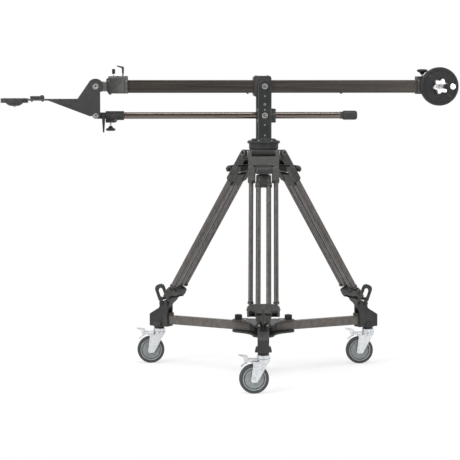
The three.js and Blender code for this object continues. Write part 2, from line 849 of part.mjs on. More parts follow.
// Upper half of a leg: the top casting, two outer tubes and the bottom casting
function legUpper() {
  const half = legWidth / 2;
  const face = castingThickness / 2;
  const top = prism("x", roundedRectangle(-half, half, -castingLength, castingAboveHinge, castingCorner),
    -face, face);
  const opening = box(-face - overrun, face + overrun, -forkOpening / 2, forkOpening / 2,
    -forkOpeningDepth, castingAboveHinge + overrun);
  const pinBore = rod("y", boreFor(hingePinRadius), -half - overrun, half + overrun, smallSides);
  const notchHalf = tongueWidth / 2 + fit;
  const notch = box(-face - overrun, face + overrun, -notchHalf, notchHalf,
    -castingLength - overrun, -topLeverSeat - leverLug);
  const pocket = box(-face - overrun, face - leverLug, -notchHalf, notchHalf,
    -castingLength - overrun, -tongueNotch);
  const tube = (offset) => rod("z", outerTubeRadius, -lowCastingTop - overrun, -castingLength + overrun)
    .translate(0, offset, 0);
  const bottom = prism("x",
    roundedRectangle(-half, half, -lowCastingBottom, -lowCastingTop, castingCorner), -face, face);
  const bore = (offset) => rod("z", innerTubeRadius + fit, -lowCastingBottom - overrun,
    -lowCastingTop + overrun).translate(0, offset, 0);
  return join(
    cut(top, opening, pinBore, notch, pocket),
    tube(outerTubeOffset),
    tube(-outerTubeOffset),
    cut(bottom, bore(innerTubeOffset), bore(-innerTubeOffset)),
    leverSeat(1, topLeverSeat),
    leverSeat(-1, lowLeverSeat),
  );
}

// Lower half of a leg: the sliding block, two inner tubes and the foot
function legLower() {
  const blockHalfWidth = tongueWidth / 2;
  const face = footThickness / 2;
  const block = box(-face, face - leverLug, -blockHalfWidth, blockHalfWidth, -tongueBottom,
    -tongueTop);
  const footStart = lowCastingBottom + fit;
  const tube = (offset) => rod("z", innerTubeRadius, -footStart - overrun, -tongueBottom + overrun)
    .translate(0, offset, 0);
  const wide = footShoulderWidth / 2;
  const narrow = footNeckWidth / 2;
  const foot = [
    [-wide, -footStart],
    [-wide, -footStart - footShoulder],
    [-narrow, -footNeckStart],
    [-narrow, -footTip + narrow / 2],
    [-narrow / 2, -footTip],
    [narrow / 2, -footTip],
    [narrow, -footTip + narrow / 2],
    [narrow, -footNeckStart],
    [wide, -footStart - footShoulder],
    [wide, -footStart],
  ];
  return join(block, tube(innerTubeOffset), tube(-innerTubeOffset), prism("x", foot, -face, face));
}

// Fixed base of the pan head on the crown
function panBase() {
  return rod("z", panBaseRadius, crownTop, panBaseTop, wideSides);
}

// Turntable, foot and the two round topped plates that carry both pivots
function columnYoke() {
  const half = yokeWidth / 2;
  const outline = new THREE.Shape();
  outline.moveTo(-half, columnFootTop - overrun);
  outline.lineTo(half, columnFootTop - overrun);
  outline.lineTo(half, topPivotHeight);
  outline.absarc(0, topPivotHeight, half, 0, Math.PI);
  outline.closePath();
  const bores = [topPivotHeight, lowerPivotHeight].map((height) =>
    rod("y", boreFor(trunnionRadius, roundSides), -yokeDepth, yokeDepth).translate(0, 0, height));
  return cut(join(
    rod("z", turntableRadius, panBaseTop + fit, turntableTop, wideSides),
    rod("z", columnFootRadius, turntableTop - overrun, columnFootTop, wideSides),
    prism("y", outline, yokeGap / 2, yokeDepth / 2),
    prism("y", outline, -yokeDepth / 2, -yokeGap / 2),
  ), ...bores);
}

// Pan lock behind the turntable
function panLockKnob() {
  const height = (panBaseTop + fit + turntableTop) / 2;
  const start = turntableRadius + panKnobStandoff;
  return join(
    rod("y", panKnobStem, turntableRadius + fit, start + panKnobLength / 2, smallSides),
    rod("y", panKnobRadius, start, start + panKnobLength),
  ).translate(0, 0, height);
}

// Trunnions that a block carries in both yoke plates
function trunnions(height) {
  const half = yokeDepth / 2;
  return rod("y", trunnionRadius, -half, half).translate(0, 0, height);
}

// Saddle block that grips the boom between the plates
function saddle() {
  const outline = roundedRectangle(-saddleFront, saddleRear, saddleBottom, saddleTop, saddleCorner);
  const body = join(prism("y", outline, -blockHalf, blockHalf), trunnions(topPivotHeight));
  return cut(body, boomBar(-saddleFront - overrun, saddleRear + overrun, boomWidth, boomHeight, boomCorner));
}

// Block that grips the lower rod between the plates
function rodPivotBlock() {
  const body = join(
    box(-rodBlockFront, rodBlockRear, -blockHalf, blockHalf,
      lowerPivotHeight - rodBlockBelow, lowerPivotHeight + rodBlockAbove),
    trunnions(lowerPivotHeight),
  );
  const bore = rod("x", rodRadius + fit, -rodBlockFront - overrun, rodBlockRear + overrun);
  return cut(body, bore.translate(0, 0, lowerPivotHeight));
}

// Hollow outer tube of the boom
function boomOuterTube() {
  const corner = boomCorner - boomWall;
  return cut(
    boomBar(-boomFront, boomRear, boomWidth, boomHeight, boomCorner),
    boomBar(-boomFront - overrun, boomRear + overrun, boomWidth - 2 * boomWall,
      boomHeight - 2 * boomWall, corner),
  );
}

// Collar at the boom's front end, with a slanted nose and a top plate
function boomCollar() {
  const half = collarWidth / 2;
  const outline = [
    [-collarFront, collarBottom + 2 * collarChamfer],
    [-collarFront + collarChamfer, collarBottom],
    [-collarRear, collarBottom],
    [-collarRear, collarPlateTop],
    [-collarPlateFront, collarPlateTop],
    [-collarPlateFront, collarTop],
    [-collarFront, collarTop - 2 * collarChamfer],
  ];
  const seat = boomBar(-boomFront, -collarRear + overrun, boomWidth, boomHeight, boomCorner);
  const mouth = boomBar(-collarFront - overrun, -boomFront + overrun, innerBoomWidth + 2 * fit,
    innerBoomHeight + 2 * fit, innerBoomCorner);
  const stemBore = rod("z", boreFor(pinStemRadius), topPivotHeight, collarPlateTop + overrun, smallSides);
  const tipRoomTop = collarPlateTop - webThickness;
  const tipBore = rod("z", boreFor(pinTipRadius), topPivotHeight, tipRoomTop, smallSides);
  const nub = rod("z", collarNubRadius, collarBottom - collarNubLength, collarBottom + overrun, smallSides);
  const leverBore = rod("z", boreFor(ratchetRadius), collarTop, collarPlateTop + overrun, smallSides);
  const body = join(prism("y", outline, -half, half), nub.translate(-collarNubPlace, 0, 0));
  return cut(body, seat, mouth,
    stemBore.translate(-pinKnobPlace, 0, 0),
    tipBore.translate(-pinKnobPlace, 0, 0),
    leverBore.translate(-ratchetPlace, 0, 0));
}

// Pull pin of the collar
function collarPin() {
  const tipTop = collarTop - overrun;
  const tipBottom = topPivotHeight + boomHeight / 2 + fit;
  return join(
    rod("z", pinKnobRadius, pinKnobBottom, pinKnobTop, smallSides),
    rod("z", pinStemRadius, tipBottom, pinKnobBottom + overrun, smallSides),
    rod("z", pinTipRadius, tipBottom, (tipBottom + tipTop) / 2, smallSides),
  ).translate(-pinKnobPlace, 0, 0);
}

// Ratchet lever of the collar: a post and a bent arm
function collarLever() {
  const half = ratchetRadius;
  const arm = [
    [half, ratchetBend - half],
    [half, ratchetBend + half / 2],
    [0, ratchetBend + half],
    [-ratchetReach, ratchetBend + ratchetLift + half],
    [-ratchetReach, ratchetBend + ratchetLift],
    [-half, ratchetBend - half],
  ];
  return join(
    rod("z", ratchetRadius, collarTop + fit, ratchetBend, smallSides),
    prism("y", arm, -half, half),
  ).translate(-ratchetPlace, 0, 0);
}

// Inner tube of the boom with its guide shoe and the round ear at the head pivot
function boomInnerTube() {
  const earHalf = innerBoomWidth / 2;
  const shoeWidth = boomWidth - 2 * boomWall - 2 * fit;
  const shoeHeight = boomHeight - 2 * boomWall - 2 * fit;
  const corner = boomCorner - boomWall;
  const body = join(
    boomBar(-headPivot, -innerBoomRear, innerBoomWidth, innerBoomHeight, innerBoomCorner),
    boomBar(-innerBoomRear - innerShoeLength, -innerBoomRear, shoeWidth, shoeHeight, corner),
    rod("y", earRadius, -earHalf, earHalf).translate(-headPivot, 0, topPivotHeight),
  );
  const bore = rod("y", boreFor(earPinRadius, roundSides), -earHalf - overrun, earHalf + overrun);
  return cut(body, bore.translate(-headPivot, 0, topPivotHeight));
}

// Lower rod tube with its end cap
function rodOuterTube() {
  const bore = rodRadius - rodWall;
  return cut(
    join(rod("x", rodRadius, -rodFront, rodRear), rod("x", rodCapRadius, rodCapFront, rodCapRear)),
    rod("x", bore, -rodFront - overrun, rodRear),
  ).translate(0, 0, lowerPivotHeight);
}

// Collar on the lower rod with its clamp block underneath
function rodCollar() {
  const half = rodClampWidth / 2;
  const body = join(
    rod("x", rodCollarRadius, -rodCollarFront, -rodCollarRear),
    box(-rodCollarFront, -rodClampRear, -half, half, -rodClampDrop, 0),
  );
  const seat = rod("x", rodRadius, -rodFront, -rodCollarRear + overrun);
  const mouth = rod("x", innerRodRadius + fit, -rodCollarFront - overrun, -rodFront + overrun);
  const screw = rod("z", boreFor(rodKnobStem), -rodClampDrop - overrun, -rodRadius - fit, smallSides);
  return cut(body, seat, mouth, screw.translate(-rodKnobPlace, 0, 0)).translate(0, 0, lowerPivotHeight);
}

// Clamp knob under the collar of the lower rod
function rodCollarKnob() {
  const neck = rodKnobRadius * rodKnobHubShare;
  const middle = (rodKnobTop + rodKnobBottom) / 2;
  return join(
    turned("z", [[0, rodKnobBottom], [rodKnobRadius, rodKnobBottom], [rodKnobRadius, middle],
      [neck, rodKnobTop], [0, rodKnobTop]], roundSides),
    rod("z", rodKnobStem, rodKnobTop - overrun, lowerPivotHeight - rodRadius - rodWall, smallSides),
  ).translate(-rodKnobPlace, 0, 0);
}

// Inner rod with the knuckle at the bracket's lower pin
function rodInnerTube() {
  const half = knuckleWidth / 2;
  const gap = rodCollarFront + fit;
  const body = join(
    rod("x", innerRodRadius, -headPivot, -innerRodRear),
    box(-headPivot, -gap, -half, half, -knuckleRadius, knuckleRadius),
    rod("y", knuckleRadius, -half, half).translate(-headPivot, 0, 0),
  );
  const bore = rod("y", boreFor(earPinRadius + fit, roundSides), -half - overrun, half + overrun);
  const leverPin = rod("y", leverPinRadius, -rodLeverStart - rodLeverThickness, -half + overrun, smallSides);
  return join(
    cut(body, bore.translate(-headPivot, 0, 0)),
    leverPin.translate(-rodLeverPlace, 0, 0),
  ).translate(0, 0, lowerPivotHeight);
}

// Long thin lever beside the knuckle
function rodLever() {
  const hub = rodLeverHubRadius;
  const tip = rodLeverTipRadius;
  const outline = [[-hub, 0], [-tip, -rodLeverLength], [tip, -rodLeverLength], [hub, 0]];
  const start = -rodLeverStart - rodLeverThickness;
  const end = -rodLeverStart;
  const body = join(prism("y", outline, start, end), rod("y", hub, start, end));
  const bore = rod("y", boreFor(leverPinRadius), start - overrun, end + overrun, smallSides);
  return cut(body, bore).translate(-rodLeverPlace, 0, lowerPivotHeight);
}

// Head bracket: two cheeks joined by a web, with a flat nose strip toward the bowl
function headBracket() {
  const half = bracketPlateWidth / 2;
  const stripBottom = noseTop - noseStrip;
  const nose = bowlCentre - bowlRadius + bowlRimDepth;
  const outline = new THREE.Shape();
  outline.moveTo(-bowlCentre, noseTop);
  outline.lineTo(-bowlCentre, stripBottom);
  outline.lineTo(-noseUnderX, stripBottom);
  outline.lineTo(-underRearX, underRearZ);
  outline.absarc(-headPivot, lowerPivotHeight, lowerLobeRadius, Math.PI, 3 * Math.PI / 2);
  outline.lineTo(-bracketRearX, lowerPivotHeight - lowerLobeRadius);
  outline.lineTo(-bracketRearX, topPivotHeight - earRadius);
  outline.absarc(-headPivot, topPivotHeight, upperLobeRadius, -Math.PI / 4, 3 * Math.PI / 4);
  outline.lineTo(-slopeTopX, slopeTopZ);
  outline.lineTo(-slopeFootX, noseTop);
  outline.closePath();
  const hollowFront = [
    [-noseUnderX, stripBottom - webThickness],
    [-slopeFootX - webThickness, noseTop - noseStrip],
    [-slopeFootX + webThickness, noseTop - noseStrip],
    [-headPivot - earRadius - webThickness, topPivotHeight],
    [-headPivot - earRadius - webThickness, topPivotHeight + 2 * upperLobeRadius],
    [-bracketRearX + 2 * upperLobeRadius, topPivotHeight + 2 * upperLobeRadius],
    [-bracketRearX + 2 * upperLobeRadius, lowerPivotHeight - 2 * lowerLobeRadius],
    [-headPivot - knuckleRadius - webThickness, lowerPivotHeight - 2 * lowerLobeRadius],
    [-headPivot - knuckleRadius - webThickness, underRearZ + webThickness],
  ];
  const inner = half - bracketCheek;
  const bowlCut = rod("z", bowlRadius + fit, bowlBottom, bowlRim, wideSides).translate(-bowlCentre, 0, 0);
  const shell = cut(prism("y", outline, -half, half), prism("y", hollowFront, -inner, inner), bowlCut);
  const pin = (height) => rod("y", earPinRadius, -half, half).translate(-headPivot, 0, height);
  return join(shell, pin(topPivotHeight), pin(lowerPivotHeight));
}

// Bowl that takes a camera head
function bowlRing() {
  const rimBottom = bowlRim - bowlRimDepth;
  const hollow = bowlTurns.map(radians).map((turn) => [
    bowlMouthRadius * Math.cos(turn),
    bowlRim - bowlMouthRadius * Math.sin(turn),
  ]).filter(([radius]) => radius > bowlHoleRadius);
  const bowl = turned("z", [
    [bowlHoleRadius, bowlBottom],
    [bowlFootRadius, bowlBottom],
    [bowlNeckRadius, rimBottom - webThickness],
    [bowlNeckRadius + webThickness, rimBottom],
    [bowlRadius, rimBottom],
    [bowlRadius, bowlRim],
    ...hollow,
    [bowlHoleRadius, bowlBottom],
  ]);
  return bowl.translate(-bowlCentre, 0, 0);
}

// Block with a round bubble level on the nose strip
function levelBlock() {
  const half = levelBlockWidth / 2;
  const top = noseTop + levelBlockHeight;
  return join(
    box(-levelBlockFront, -levelBlockRear, -half, half, noseTop, top),
    rod("z", levelBumpRadius, noseTop + overrun, top + levelBumpHeight).translate(-levelBumpPlace, 0, 0),
  );
}

// Tail carrier at the boom's rear end, bored for the weight bar
function tailCarrier() {
  const half = tailWidth / 2;
  const outline = [
    [tailFront, tailBottom],
    [tailRear, tailBottom],
    [tailRear, tailTop],
    [tailPlateRear, tailTop],
    [tailPlateRear, tailPlateTop],
    [tailFront, tailPlateTop],
  ];
  const socket = boomBar(tailFront - overrun, boomRear, boomWidth, boomHeight, boomCorner);
  const bore = rod("y", barRadius, -half - overrun, half + overrun).translate(barPlace, 0, topPivotHeight);
  const screw = rod("z", boreFor(tailKnobStem), topPivotHeight, tailPlateTop + overrun, smallSides);
  return cut(prism("y", outline, -half, half), socket, bore, screw.translate(tailKnobPlace, 0, 0));
}

// Clamp knob on top of the tail carrier
function tailKnob() {
  const rim = tailKnobTop - (tailKnobTop - tailKnobBottom) * tailKnobRimShare;
  const neck = tailKnobRadius * tailKnobNeckShare;
  const tip = topPivotHeight + boomHeight / 2 + fit;
  return join(
    turned("z", [[0, tailKnobBottom], [neck, tailKnobBottom], [tailKnobRadius, rim],
      [tailKnobRadius, tailKnobTop], [0, tailKnobTop]], roundSides),
    rod("z", tailKnobStem, tip, tailKnobBottom + overrun, smallSides),
  ).translate(tailKnobPlace, 0, 0);
}

// Bar that carries the weight
function weightBar() {
  return rod("y", barRadius, -barHalf, barHalf).translate(barPlace, 0, topPivotHeight);
}

// Iron disc with a raised rim and boss, on the camera side of the carrier
function weightDisc() {
  const inner = tailWidth / 2 + fit;
  const outer = inner + discThickness;
  const bore = boreFor(barRadius, wideSides);
  const rim = discRadius - discRimWidth;
  const disc = turned("y", [
    [bore, -outer],
    [discBossRadius, -outer],
    [discBossRadius, -outer + discFaceInset],
    [rim, -outer + discFaceInset],
    [rim, -outer],
    [discRadius - discFaceInset, -outer],
    [discRadius, -outer + discFaceInset],
    [discRadius, -inner - discFaceInset],
    [discRadius - discFaceInset, -inner],
    [bore, -inner],
    [bore, -outer],
  ]);
  return disc.translate(barPlace, 0, topPivotHeight);
}

// Star collar with six lobes that clamps on the bar
function starCollar(start, end) {
  const shape = new THREE.Shape();
  const count = starLobes * starSteps;
  const middle = starRadius * (1 + starWaistShare) / 2;
  const swing = starRadius * (1 - starWaistShare) / 2;
  for (let i = 0; i < count; i += 1) {
    const turn = 2 * Math.PI * i / count;
    const radius = middle + swing * Math.cos(starLobes * turn);
    const angle = turn + radians(starTurn);
    const point = [radius * Math.cos(angle), radius * Math.sin(angle)];
    if (i === 0) shape.moveTo(...point);
    else shape.lineTo(...point);
  }
  shape.closePath();
  const bore = rod("y", boreFor(barRadius, roundSides), start - overrun, end + overrun);
  return cut(prism("y", shape, start, end), bore).translate(barPlace, 0, topPivotHeight);
}

// Groups: the dolly and the tripod turn together under the boom
const crane = new THREE.Group();
const base = new THREE.Group();
base.rotation.z = -radians(panAtRest);
crane.add(base);

base.add(painted("dolly_hub_upper_plate", hubPlate(armTop, armTop + hubPlateThickness)));
base.add(painted("dolly_hub_lower_plate", hubPlate(armBottom - hubLowerThickness, armBottom)));
base.add(painted("tripod_crown", tripodCrown()));
base.add(painted("pan_base", panBase()));

for (const [place, azimuth] of armAzimuths.entries()) {
  const number = place + 1;
  const sector = new THREE.Group();
  sector.rotation.z = radians(azimuth);
  base.add(sector);
  sector.add(anodised(`dolly_arm_${number}`, dollyArm()));
  sector.add(plastic(`arm_lock_knob_${number}`, armLockKnob()));
  sector.add(painted(`foot_bracket_${number}`, footBracket()));

  const latch = painted(`foot_latch_${number}`, footLatch());
  latch.position.set(latchPivotRadius, 0, latchPivotHeight);
  sector.add(latch);

  const caster = new THREE.Group();
  caster.position.set(kingpinCircle, 0, 0);
  caster.rotation.z = radians(panAtRest - azimuth);
  caster.add(plated(`caster_fork_${number}`, casterFork()));
  caster.add(mesh(`caster_wheel_${number}`, casterWheel(), colours.rubber, 0.7, 0));
  caster.add(plated(`brake_pedal_${number}`, brakePedal()));
  sector.add(caster);

  const leg = new THREE.Group();
  leg.position.set(hingeCircle, 0, hingeHeight);
  leg.rotation.y = -legAngle;
  leg.add(painted(`leg_upper_${number}`, legUpper()));
  leg.add(anodised(`leg_lower_${number}`, legLower()));
  const topLever = plastic(`leg_lever_${number}`, hoodedLever());
  topLever.position.set(leverStand, 0, -topLeverSeat);
  topLever.rotation.y = -radians(topLeverDroop);
  leg.add(topLever);
  const lowLever = plastic(`leg_clamp_${number}`, halfRoundLever(lowLeverRadius, lowLeverPlate));
  lowLever.position.set(-leverStand, 0, -lowLeverSeat);
  lowLever.rotation.y = radians(lowLeverDroop);
  leg.add(lowLever);
  sector.add(leg);
}

const starInner = tailWidth / 2 + fit;
const starFace = starInner + discThickness + fit;
crane.add(
  painted("column_yoke", columnYoke()),
  plastic("pan_lock_knob", panLockKnob()),
  painted("saddle", saddle()),
  painted("rod_pivot_block", rodPivotBlock()),
  anodised("boom_outer_tube", boomOuterTube()),
  painted("boom_collar", boomCollar()),
  plastic("collar_pin", collarPin()),
  plastic("collar_lever", collarLever()),
  bright("boom_inner_tube", boomInnerTube()),
  anodised("rod_outer_tube", rodOuterTube()),
  painted("rod_collar", rodCollar()),
  plastic("rod_collar_knob", rodCollarKnob()),
  painted("rod_inner_tube", rodInnerTube()),
  plastic("rod_lever", rodLever()),
  painted("head_bracket", headBracket()),
  painted("bowl_ring", bowlRing()),
  plastic("level_block", levelBlock()),
  painted("tail_carrier", tailCarrier()),
  plastic("tail_knob", tailKnob()),
  bright("weight_bar", weightBar()),
  painted("weight_disc", weightDisc()),
  plated("star_collar_front", starCollar(-starFace - starThickness, -starFace)),
  plated("star_collar_rear", starCollar(starInner, starInner + starThickness)),
);

// The origin is the middle of the crane's footprint on the floor
crane.updateMatrixWorld(true);
const bounds = new THREE.Box3().setFromObject(crane, true);
const middle = bounds.getCenter(new THREE.Vector3());
crane.position.set(-middle.x, -middle.y, -bounds.min.z);

export default crane;
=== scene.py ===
import math
import bpy
import bmesh
from mathutils import Matrix, Vector
from mathutils.geometry import tessellate_polygon


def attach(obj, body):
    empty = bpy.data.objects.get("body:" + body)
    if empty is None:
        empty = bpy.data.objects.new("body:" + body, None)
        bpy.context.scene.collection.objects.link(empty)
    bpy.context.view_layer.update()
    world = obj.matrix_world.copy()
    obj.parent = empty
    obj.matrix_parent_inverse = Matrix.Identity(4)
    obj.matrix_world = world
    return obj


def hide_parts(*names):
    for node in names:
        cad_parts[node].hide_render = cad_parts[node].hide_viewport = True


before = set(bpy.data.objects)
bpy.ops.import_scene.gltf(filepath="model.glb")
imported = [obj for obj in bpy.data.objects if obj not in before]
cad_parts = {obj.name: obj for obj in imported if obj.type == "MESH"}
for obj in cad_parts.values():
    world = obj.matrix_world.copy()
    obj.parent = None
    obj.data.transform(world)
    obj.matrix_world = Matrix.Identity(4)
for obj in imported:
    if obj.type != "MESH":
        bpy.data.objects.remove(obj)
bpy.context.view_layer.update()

# ---------------------------------------------------------------- places, in millimetres and degrees
PAN = 6.5  # how far the tripod stands turned under the boom
AZIMUTHS = (-90 - PAN, 30 - PAN, 150 - PAN)
LEG_LEAN = -31.7
HINGE_OUT, HINGE_UP = 66, 987
KINGPIN_OUT = 558
AXLE_X, AXLE_UP = -39, 62.5
PEDAL_X, PEDAL_UP = -61, 141
ARM_LOCK_OUT = 130
LATCH_OUT, LATCH_UP = 530, 282
OUTER_TUBE_Y, INNER_TUBE_Y = 54.5, 22.5
BOOM_UP, ROD_UP = 1280, 1152
NOSE_X, BAR_X, BOWL_X = -745, 782, -1100
COLLAR_PIN_X, COLLAR_LEVER_X, ROD_KNOB_X, ROD_LEVER_X, TAIL_KNOB_X = -665, -624, -679, -711, 713
ROW = Matrix.Scale(0.001, 4) @ Matrix.Translation((146.5, 110.36672, 0))


def turn(axis, degrees):
    return Matrix.Rotation(math.radians(degrees), 4, axis)


def go(x=0, y=0, z=0):
    return Matrix.Translation((x, y, z))


def sector(i):
    return ROW @ turn("Z", AZIMUTHS[i])


def leg(i):
    return sector(i) @ go(HINGE_OUT, 0, HINGE_UP) @ turn("Y", LEG_LEAN)


def polar(radius, degrees):
    a = math.radians(degrees)
    return Vector((radius * math.cos(a), radius * math.sin(a)))


def caster(i):
    return ROW @ go(*polar(KINGPIN_OUT, AZIMUTHS[i]))


FORWARD = turn("Y", 90)
DOWN = turn("X", 180)
SIDEWAYS = {1: turn("X", -90), -1: turn("X", 90)}


# ---------------------------------------------------------------- forms, in millimetres
class Form:
    def __init__(self, verts=(), faces=(), tone=0):
        self.verts = [Vector(v) for v in verts]
        self.faces = [tuple(f) for f in faces]
        self.tones = [tone] * len(self.faces)

    def at(self, matrix):
        other = Form()
        other.verts = [matrix @ v for v in self.verts]
        other.faces = list(self.faces)
        other.tones = list(self.tones)
        return other

    def __add__(self, other):
        both = Form()
        both.verts = self.verts + other.verts
        start = len(self.verts)
        both.faces = self.faces + [tuple(i + start for i in f) for f in other.faces]
        both.tones = self.tones + other.tones
        return both


def rounded(points, radius, steps=5, closed=True):
    """An outline whose corners are replaced by arcs; radius is one number or one per corner."""
    count = len(points)
    radii = radius if isinstance(radius, (list, tuple)) else [radius] * count
    out = []
    for i, corner in enumerate(points):
        r = radii[i]
        if r <= 0 or (not closed and i in (0, count - 1)):
            out.append(tuple(corner))
            continue
        p = Vector(corner)
        a = Vector(points[i - 1]) - p
        b = Vector(points[(i + 1) % count]) - p
        la, lb = a.length, b.length
        a.normalize()
        b.normalize()
        angle = a.angle(b)
        if angle > math.pi - 0.01:
            out.append(tuple(corner))
            continue
        reach = min(r / math.tan(angle / 2), 0.49 * la, 0.49 * lb)
        r = reach * math.tan(angle / 2)
        middle = p + (a + b).normalized() * (r / math.sin(angle / 2))
        start = p + a * reach - middle
        end = p + b * reach - middle
        sweep = math.atan2(start.x * end.y - start.y * end.x, start.dot(end))
        for k in range(steps + 1):
            t = sweep * k / steps
            c, s = math.cos(t), math.sin(t)
            out.append((middle.x + start.x * c - start.y * s, middle.y + start.x * s + start.y * c))
    return out


def circle(radius, sides=48, x=0, y=0):
    return [(x + radius * math.cos(2 * math.pi * k / sides), y + radius * math.sin(2 * math.pi * k / sides))
        for k in range(sides)]


def arc(x, y, radius, start, end, steps=14):
    points = [polar(radius, start + (end - start) * k / steps) for k in range(steps + 1)]
    return [(x + p.x, y + p.y) for p in points]


def wavy(radius, count, depth, steps=4, start=0.0):
    """A round outline with ribs or lobes."""
    total = count * steps
    out = []
    for k in range(total):
        t = 2 * math.pi * k / total
        r = radius - depth / 2 + depth / 2 * math.cos(count * t)
        out.append((r * math.cos(t + start), r * math.sin(t + start)))
    return out


def rectangle(u0, u1, v0, v1, radius=0, steps=5):
    return rounded([(u0, v0), (u1, v0), (u1, v1), (u0, v1)], radius, steps)


def area(points):
    return sum(a[0] * b[1] - b[0] * a[1] for a, b in zip(points[-1:] + points[:-1], points)) / 2


def inset(points, distance):
    """The outline moved inward by a distance; the points run anticlockwise."""
    out = []
    count = len(points)
    for i in range(count):
        p = Vector(points[i])
        a = (p - Vector(points[i - 1])).normalized()
        b = (Vector(points[(i + 1) % count]) - p).normalized()
        na, nb = Vector((-a.y, a.x)), Vector((-b.y, b.x))
        n = na + nb
        if n.length < 1e-6:
            out.append(tuple(p))
            continue
        n.normalize()
        out.append(tuple(p + n * (distance / max(n.dot(na), 0.35))))
    return out


def onto(axis, u, v, h):
    return {"x": (h, u, v), "y": (u, h, v), "z": (u, v, h)}[axis]


def slab(outline, low, high, axis="z", edge=0.8, holes=(), steps=2, tone=0):
    """An outline pushed along an axis, with rounded rims."""
    loops = [outline if area(outline) > 0 else outline[::-1]]
    loops += [h[::-1] if area(h) > 0 else h for h in holes]
    edge = min(edge, (high - low) / 2 - 0.01)
    levels = [(low, 0), (high, 0)]
    if edge > 0:
        turns = [math.pi / 2 * k / steps for k in range(steps + 1)]
        levels = [(low + edge - edge * math.sin(t), edge - edge * math.cos(t)) for t in turns][::-1]
        levels += [(high - edge + edge * math.sin(t), edge - edge * math.cos(t)) for t in turns]
    verts, faces = [], []
    first, last = [], []
    for loop in loops:
        count = len(loop)
        base = len(verts)
        for height, pull in levels:
            ring = inset(loop, pull) if pull > 0 else loop
            verts += [onto(axis, u, v, height) for u, v in ring]
        for k in range(len(levels) - 1):
            for i in range(count):
                j = (i + 1) % count
                faces.append((base + k * count + i, base + k * count + j, base + (k + 1) * count + j, base
                    + (k + 1) * count + i))
        first.append(range(base, base + count))
        last.append(range(base + (len(levels) - 1) * count, base + len(levels) * count))
    for caps in (first, last):
        if len(caps) == 1:
            faces.append(tuple(caps[0]))
        else:
            flat = [i for cap in caps for i in cap]
            where = {"x": (1, 2), "y": (0, 2), "z": (0, 1)}[axis]
            rings = [[Vector((verts[i][where[0]], verts[i][where[1]], 0)) for i in cap] for cap in caps]
            faces += [tuple(flat[i] for i in t) for t in tessellate_polygon(rings)]
    return Form(verts, faces, tone)


def box(x0, x1, y0, y1, z0, z1):
    """A plain box, for cutting with."""
    verts = [(x, y, z) for z in (z0, z1) for x, y in ((x0, y0), (x1, y0), (x1, y1), (x0, y1))]
    return Form(verts, [(3, 2, 1, 0), (4, 5, 6, 7), (0, 1, 5, 4), (1, 2, 6, 5), (2, 3, 7, 6), (3, 0, 4, 7)])


def block(x0, x1, y0, y1, z0, z1, edge=1.0, tone=0, axis="z"):
    """A box with every edge rounded."""
    u0, u1, v0, v1, low, high = {"x": (y0, y1, z0, z1, x0, x1), "y": (x0, x1, z0, z1, y0, y1), "z": (x0, x1,
        y0, y1, z0, z1)}[axis]
    return slab(rectangle(u0, u1, v0, v1, edge, 3), low, high, axis, edge, tone=tone)


def lathe(profile, axis="z", sides=64, tone=0, radius=0.0, closed=False):
    """A turned form from (radius, height) pairs, with its corners rounded."""
    if radius:
        profile = rounded(profile, radius, 3, closed)
    verts, faces, rings = [], [], []
    for r, h in profile:
        if r < 1e-6:
            rings.append([len(verts)])
            verts.append(onto(axis, 0, 0, h))
        else:
            rings.append(list(range(len(verts), len(verts) + sides)))
            verts += [onto(axis, r * math.cos(2 * math.pi * k / sides), r * math.sin(2 * math.pi * k / sides),
                h) for k in range(sides)]
    pairs = list(zip(rings, rings[1:])) + ([(rings[-1], rings[0])] if closed else [])
    for a, b in pairs:
        for k in range(sides):
            n = (k + 1) % sides
            if len(a) == 1 and len(b) == 1:
                continue
            if len(a) == 1:
                faces.append((a[0], b[k], b[n]))
            elif len(b) == 1:
                faces.append((a[k], a[n], b[0]))
            else:
                faces.append((a[k], a[n], b[n], b[k]))
    return Form(verts, faces, tone)


def rod(axis, radius, low, high, edge=0.8, sides=48, tone=0):
    edge = min(edge, radius * 0.6, (high - low) / 2.1)
    return lathe([(0, low), (radius, low), (radius, high), (0, high)], axis, sides, tone, edge)


def ring(axis, inner, outer, low, high, edge=0.4, sides=48, tone=0):
    return lathe([(inner, low), (outer, low), (outer, high), (inner, high)], axis, sides, tone, edge,
        closed=True)


def mirrored(outline, low, high, *rest):
    """The same slab on both sides of the middle, along Y."""
    return slab(outline, low, high, "y", *rest) + slab(outline, -high, -low, "y", *rest)


def socket_bolt(radius, height, tone=0, dark=1):
    """A cap screw that stands on z = 0: a head with a hexagon socket, whose floor takes the last tone; the
    pieces give it the near-black of painted shade.
    """
    hexagon = circle(radius * 0.5, 6)
    head = slab(circle(radius, 32), 0, height, "z", min(radius * 0.18, 0.9), [hexagon], tone=tone)
    floor = slab(circle(radius * 0.52, 6), 0, height * 0.35, "z", 0, tone=dark)
    return head + floor


def lobed(form, start, reach, depth):
    """A turned form with its rim pulled into six lobes, outside the start radius."""
    for number, p in enumerate(form.verts):
        r, a = math.hypot(p.x, p.y), math.atan2(p.y, p.x)
        if r > start:
            k = 1 - depth * (r - start) / reach * (0.5 - 0.5 * math.cos(6 * a))
            form.verts[number] = Vector((p.x * k, p.y * k, p.z))
    return form


def mesh_of(form, name):
    mesh = bpy.data.meshes.new(name)
    bm = bmesh.new()
    points = [bm.verts.new(v) for v in form.verts]
    for face, tone in zip(form.faces, form.tones):
        try:
            made = bm.faces.new([points[i] for i in face])
        except ValueError:
            continue
        made.material_index = tone
        made.smooth = True
    bmesh.ops.recalc_face_normals(bm, faces=bm.faces)
    bm.normal_update()
    for edge in bm.edges:
        if len(edge.link_faces) == 2 and edge.calc_face_angle(0) > math.radians(38):
            edge.smooth = False
    bm.to_mesh(mesh)
    bm.free()
    return mesh


